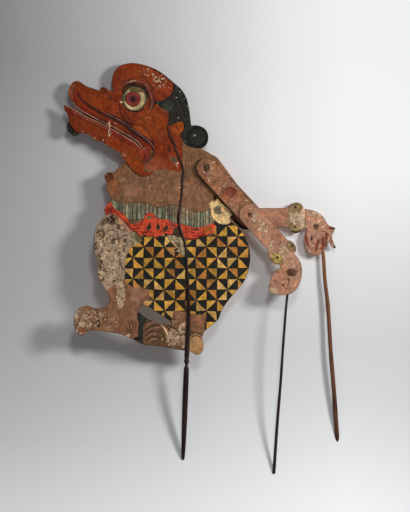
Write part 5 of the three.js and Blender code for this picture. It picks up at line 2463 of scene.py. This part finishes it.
@dataclass
class ThreadLashing:
    """Turns of thread that bind both prongs through slots in the sheet.

    Attributes:
        number: Which lashing it is, counted from the top.
        turns: How many turns it has.
        thread: The thread's thickness.
        high: How high its turns reach together.
        square: How square its path is round the prongs: 1 is an ellipse, less is squarer.
    """

    number: int
    turns: float = 4.0
    thread: float = 0.5
    high: float = 2.3
    square: float = 0.62

    @staticmethod
    def tree(material: bpy.types.Material) -> bpy.types.NodeTree:
        """The winding as a node tree with its sizes as inputs.

        Args:
            material: The thread's material.

        Returns:
            The tree.
        """
        tree = bpy.data.node_groups.new("thread_winding", "GeometryNodeTree")
        for name in ("Half Width", "Half Depth", "Height", "Turns", "Thread", "Squareness", "Seed"):
            tree.interface.new_socket(name, in_out="INPUT", socket_type="NodeSocketFloat")
        tree.interface.new_socket("Centre", in_out="INPUT", socket_type="NodeSocketVector")
        tree.interface.new_socket("Geometry", in_out="OUTPUT", socket_type="NodeSocketGeometry")
        work = Wiring(tree)
        given = tree.nodes.new("NodeGroupInput").outputs
        turns = {"Rotations": given["Turns"], "Height": given["Height"], "Resolution": 40}
        turns |= {"Start Radius": 1, "End Radius": 1}
        spiral = work.node("GeometryNodeCurveSpiral", "Curve", turns)
        place_x = work.node("ShaderNodeSeparateXYZ", "X", {0: work.node("GeometryNodeInputPosition", 0, {})})
        axes = place_x.node.outputs
        places = []
        for axis, half in (("X", "Half Width"), ("Y", "Half Depth")):
            bent = work.sum("POWER", work.sum("ABSOLUTE", axes[axis]), given["Squareness"])
            signed = work.sum("MULTIPLY", work.sum("SIGN", axes[axis]), bent)
            places.append(work.sum("MULTIPLY", signed, given[half]))
        wave = work.node("ShaderNodeTexNoise", "Fac", {"Scale": 1.3}, noise_dimensions="4D")
        work.put(wave.node.inputs["W"], given["Seed"])
        shift = work.sum("MULTIPLY", work.sum("SUBTRACT", wave, 0.5), given["Thread"])
        heights = work.sum("ADD", axes["Z"], shift)
        point = work.node("ShaderNodeCombineXYZ", 0, {"X": places[0], "Y": places[1], "Z": heights})
        point = work.node("ShaderNodeVectorMath", 0, {0: point, 1: given["Centre"]})
        wound = work.node("GeometryNodeSetPosition", "Geometry", {"Geometry": spiral, "Position": point})
        half = work.sum("MULTIPLY", given["Thread"], 0.5)
        section = work.node("GeometryNodeCurvePrimitiveCircle", "Curve", {"Resolution": 8, "Radius": half})
        sweep = {"Fill Caps": True, "Curve": wound, "Profile Curve": section}
        skin = work.node("GeometryNodeCurveToMesh", "Mesh", sweep)
        smooth = work.node("GeometryNodeSetShadeSmooth", "Geometry", {"Geometry": skin})
        real = work.node("GeometryNodeRealizeInstances", "Geometry", {"Geometry": smooth})
        dress = work.node("GeometryNodeSetMaterial", "Geometry", {"Geometry": real, "Material": material})
        work.put(tree.nodes.new("NodeGroupOutput").inputs[0], dress)
        return tree

    def build(self, tree: bpy.types.NodeTree, rod: ControlRod, material: bpy.types.Material) -> None:
        """Winds the thread round the prongs and dresses it.

        Args:
            tree: The winding's node tree.
            rod: The rod whose prongs it binds.
            material: Its material.
        """
        node = f"rod_lashing_{self.number}"
        low, high = (np.array(v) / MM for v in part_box(node))
        z = (low[2] + high[2]) / 2
        heights = [at[1] for at in rod.line]
        x, wide = (np.interp(z, heights, [at[k] for at in rod.line]) for k in (0, 2))
        sizes = {
            "Half Width": (wide * 1.12 + self.thread) / 2 * MM,
            "Half Depth": (rod.seat + rod.thick + self.thread / 2) * MM,
            "Height": (self.high - self.thread) * MM,
            "Turns": self.turns,
            "Thread": self.thread * MM,
            "Squareness": self.square,
            "Seed": float(self.number),
            "Centre": (x * MM, 0.0, (z - (self.high - self.thread) / 2) * MM),
        }
        holder = bpy.data.objects.new(node + "_path", bpy.data.meshes.new(node + "_path"))
        bpy.context.scene.collection.objects.link(holder)
        modifier = holder.modifiers.new("winding", "NODES")
        modifier.node_group = tree
        for socket in tree.interface.items_tree:
            if socket.in_out == "INPUT":
                modifier[socket.identifier] = sizes[socket.name]
        shown = holder.evaluated_get(bpy.context.evaluated_depsgraph_get())
        mesh = bpy.data.meshes.new_from_object(shown)
        bpy.data.objects.remove(holder)
        made = bpy.data.objects.new(node + "_wound", mesh)
        bpy.context.scene.collection.objects.link(made)
        place(made, node, "figure", "thread", material)


# How many lashings bind the rod
LASHINGS = 7


# The studio


@dataclass
class Studio:
    """A pale sweep, three soft lamps and the camera.

    Attributes:
        eye: The camera's place in metres.
        frame_height: The height of the picture at the figure.
        wide: The sweep's width.
        hollow: The sweep's heights, its depth behind the figure there, and how much deeper it is to the left.
        smoothing: How many times the hollow's curve is smoothed.
        lean_reach: How far to each side the hollow's depth changes.
        lamps: Each lamp's name, place in metres, width in metres and power in watts.
        aim: Where the lamps look.
        sky: The colour of the light from all sides, and its strength.
    """

    eye: tuple[float, float, float] = (0.032, -3.0, 0.297)
    frame_height: float = 0.7455
    wide: float = 3.6
    hollow: tuple[tuple[float, float, float], ...] = (
        (-1.2, -1.3, 0), (-0.3, -0.2, 0), (-0.12, -0.062, 0), (-0.06, -0.029, -0.01),
        (-0.022, -0.0075, -0.03), (0, 0.0035, -0.03), (0.013, 0.0105, -0.03), (0.034, 0.021, 0),
        (0.052, 0.028, 0.02), (0.075, 0.034, 0.04), (0.1, 0.038, 0.06), (0.15, 0.044, 0.1),
        (0.225, 0.039, 0.09), (0.31, 0.034, 0.08), (0.408, 0.022, 0.04), (0.49, 0.0145, 0.03),
        (0.553, 0.011, 0.02), (0.65, 0.01, 0.02), (2.6, 0.01, 0.02),
    )
    smoothing: int = 12
    lean_reach: float = 0.3
    lamps: tuple[tuple, ...] = (
        ("key", (0.85, -0.8, 0.64), 0.28, 9.8),
        ("top", (0.3, -2.4, 1.7), 0.5, 17.5),
        ("behind", (0.4, 2.6, 1.2), 2.0, 34),
    )
    aim: tuple[float, float, float] = (0.0, 0.0, 0.3)
    sky: tuple[tuple, float] = ((0.93, 0.95, 1.0, 1), 0.17)

    def camera(self) -> None:
        """Sets the camera where the photograph was taken from."""
        data = bpy.data.cameras.new("camera")
        data.sensor_width = 36
        data.lens = data.sensor_width * -self.eye[1] / self.frame_height
        data.clip_end = 50
        made = bpy.data.objects.new("camera", data)
        made.location = self.eye
        made.rotation_euler = (math.radians(90), 0, 0)
        bpy.context.scene.collection.objects.link(made)
        bpy.context.scene.camera = made

    def sweep(self, material: bpy.types.Material) -> None:
        """Makes the curved sheet of paper that the figure leans on: its hollow is deeper to the left.

        Args:
            material: The paper's material.
        """
        heights, depths, twist = np.array(self.hollow).T
        z = np.linspace(heights[0], heights[-1], 160)
        x = np.linspace(-self.wide / 2, self.wide / 2, 60)
        depth, lean = (np.interp(z, heights, values) for values in (depths, twist))
        for _ in range(self.smoothing):
            depth[1:-1] = (depth[:-2] + 2 * depth[1:-1] + depth[2:]) / 4
            lean[1:-1] = (lean[:-2] + 2 * lean[1:-1] + lean[2:]) / 4
        side = self.lean_reach * np.tanh(x / self.lean_reach)
        rows = []
        for up, middle, turn in zip(z, depth, lean, strict=True):
            rows.append(np.column_stack([x, middle - turn * side, np.full(len(x), up)]))
        made = piece("sweep", np.vstack(rows) / MM, quads(len(z), len(x), round_columns=False))
        made.data.materials.append(material)
        made.visible_shadow = False

    def lamp(self, name: str, at: tuple[float, float, float], size: float, power: float) -> None:
        """Adds an area lamp that looks at the figure's middle.

        Args:
            name: Its name.
            at: Its place in metres.
            size: Its width in metres.
            power: Its power in watts.
        """
        data = bpy.data.lights.new(name, "AREA")
        data.shape = "DISK"
        data.size = size
        data.energy = power
        made = bpy.data.objects.new(name, data)
        made.location = at
        made.visible_camera = False
        aim = Vector(self.aim) - Vector(at)
        made.rotation_euler = aim.to_track_quat("-Z", "Y").to_euler()
        bpy.context.scene.collection.objects.link(made)

    def light(self) -> None:
        """Sets the lamps and the world."""
        for lamp in self.lamps:
            self.lamp(*lamp)
        world = bpy.data.worlds.new("studio")
        world.use_nodes = True
        background = world.node_tree.nodes["Background"]
        for name, value in zip(("Color", "Strength"), self.sky, strict=True):
            background.inputs[name].default_value = value
        bpy.context.scene.world = world
        bpy.context.scene.view_settings.view_transform = "Standard"


def main() -> None:
    """Builds the figure piece by piece, then its studio."""
    logging.basicConfig(level=logging.INFO, format="%(name)s: %(message)s")
    studio = Studio()
    studio.camera()
    hide = PaintedHide("painted_rawhide").material()
    sheets = [
        BodySheet(),
        LowerJaw(),
        ChinTuft(),
        UpperArm(),
        UpperArm("rear_upper_arm", "rear_upper", shown=False, seed=12),
        FrontForearm(),
        RearForearm(),
    ]
    for sheet in sheets:
        sheet.build(hide)
    dark = PolishedWood("dark_rod", (16, 5, 3), (44, 18, 10)).material()
    black = PolishedWood("black_rod", (20, 13, 11), (44, 30, 25), (26, 18, 15)).material()
    brown = PolishedWood("brown_rod", (46, 24, 15), (110, 68, 40), (128, 82, 48)).material()
    rod = ControlRod()
    rod.build(dark)
    front_hand, rear_hand = (158.09, 273.47), (194.28, 340.15)
    rods = [
        HandRod(
            "front_hand_rod", "front_rod", "front_rod", front_hand, -95.1, 296.4,
            [(-4, 0.4), (0, 0), (33, -3.3), (100, -3.2), (160, -2), (216, -1.6), (296.4, 0)],
            (3.3, 4.8), -5.6, Side.FRONT,
        ),
        HandRod(
            "rear_hand_rod", "rear_rod", "rear_rod", rear_hand, -84.4, 327.8,
            [(-4, -0.6), (0, 0), (35, 6), (80, 5.4), (115, 6), (190, 3.5), (245, 2.6), (327.8, 0)],
            (5.1, 7), 10.0, Side.REAR, swell=(117, 0.16),
        ),
    ]
    for made, material in zip(rods, (black, brown), strict=True):
        made.build(material)
    thong = Rawhide("thong_hide", (50, 29, 17), (122, 76, 46)).material()
    shoulder, jaw, front, rear = (35.2, 424.4), (-54, 443), (97.35, 357.52), (92.28, 353.15)
    inner = Knot(-5.5, -4.8, 3.2)
    thongs = [
        KnottedThong(
            "shoulder_thong", "figure", shoulder, [Knot(-7.7, -9.6, 4.2, 20), Knot(7.7, 9.6, 4.2)],
            [(-5.5, -1.7), (1.7, 5.5)],
        ),
        KnottedThong("jaw_pin", "figure", jaw, [Knot(-3.5, -4.8, 2.8, 40), Knot(1.6, 3.0, 2.8)]),
        KnottedThong("front_elbow_thong", "front_upper", front, [Knot(-9.8, -11.6, 3.4, 10), inner]),
        KnottedThong("rear_elbow_thong", "rear_upper", rear, [Knot(9.8, 11.6, 3.4), Knot(5.5, 4.8, 3.2)]),
        KnottedThong(
            "front_hand_tie", "front_fore", front_hand, [Knot(-9.8, -11.2, 4.6, 15), inner], washer=(13, 10)
        ),
        KnottedThong(
            "rear_hand_tie", "rear_fore", rear_hand, [Knot(7.7, 6.5, 4.4, 30), Knot(12.2, 13.9, 4.2)]
        ),
    ]
    painted = Rawhide("painted_thong", (88, 28, 16), (128, 48, 28)).material()
    for made in thongs:
        made.build(painted if made.node == "jaw_pin" else thong)
    thread = Rawhide("dark_thread", (24, 14, 11), (60, 38, 28), 3200, 0.7).material()
    winding = ThreadLashing.tree(thread)
    for number in range(1, LASHINGS + 1):
        ThreadLashing(number).build(winding, rod, thread)
    studio.sweep(StudioPaper().material())
    studio.light()


if __name__ == "__main__":
    main()
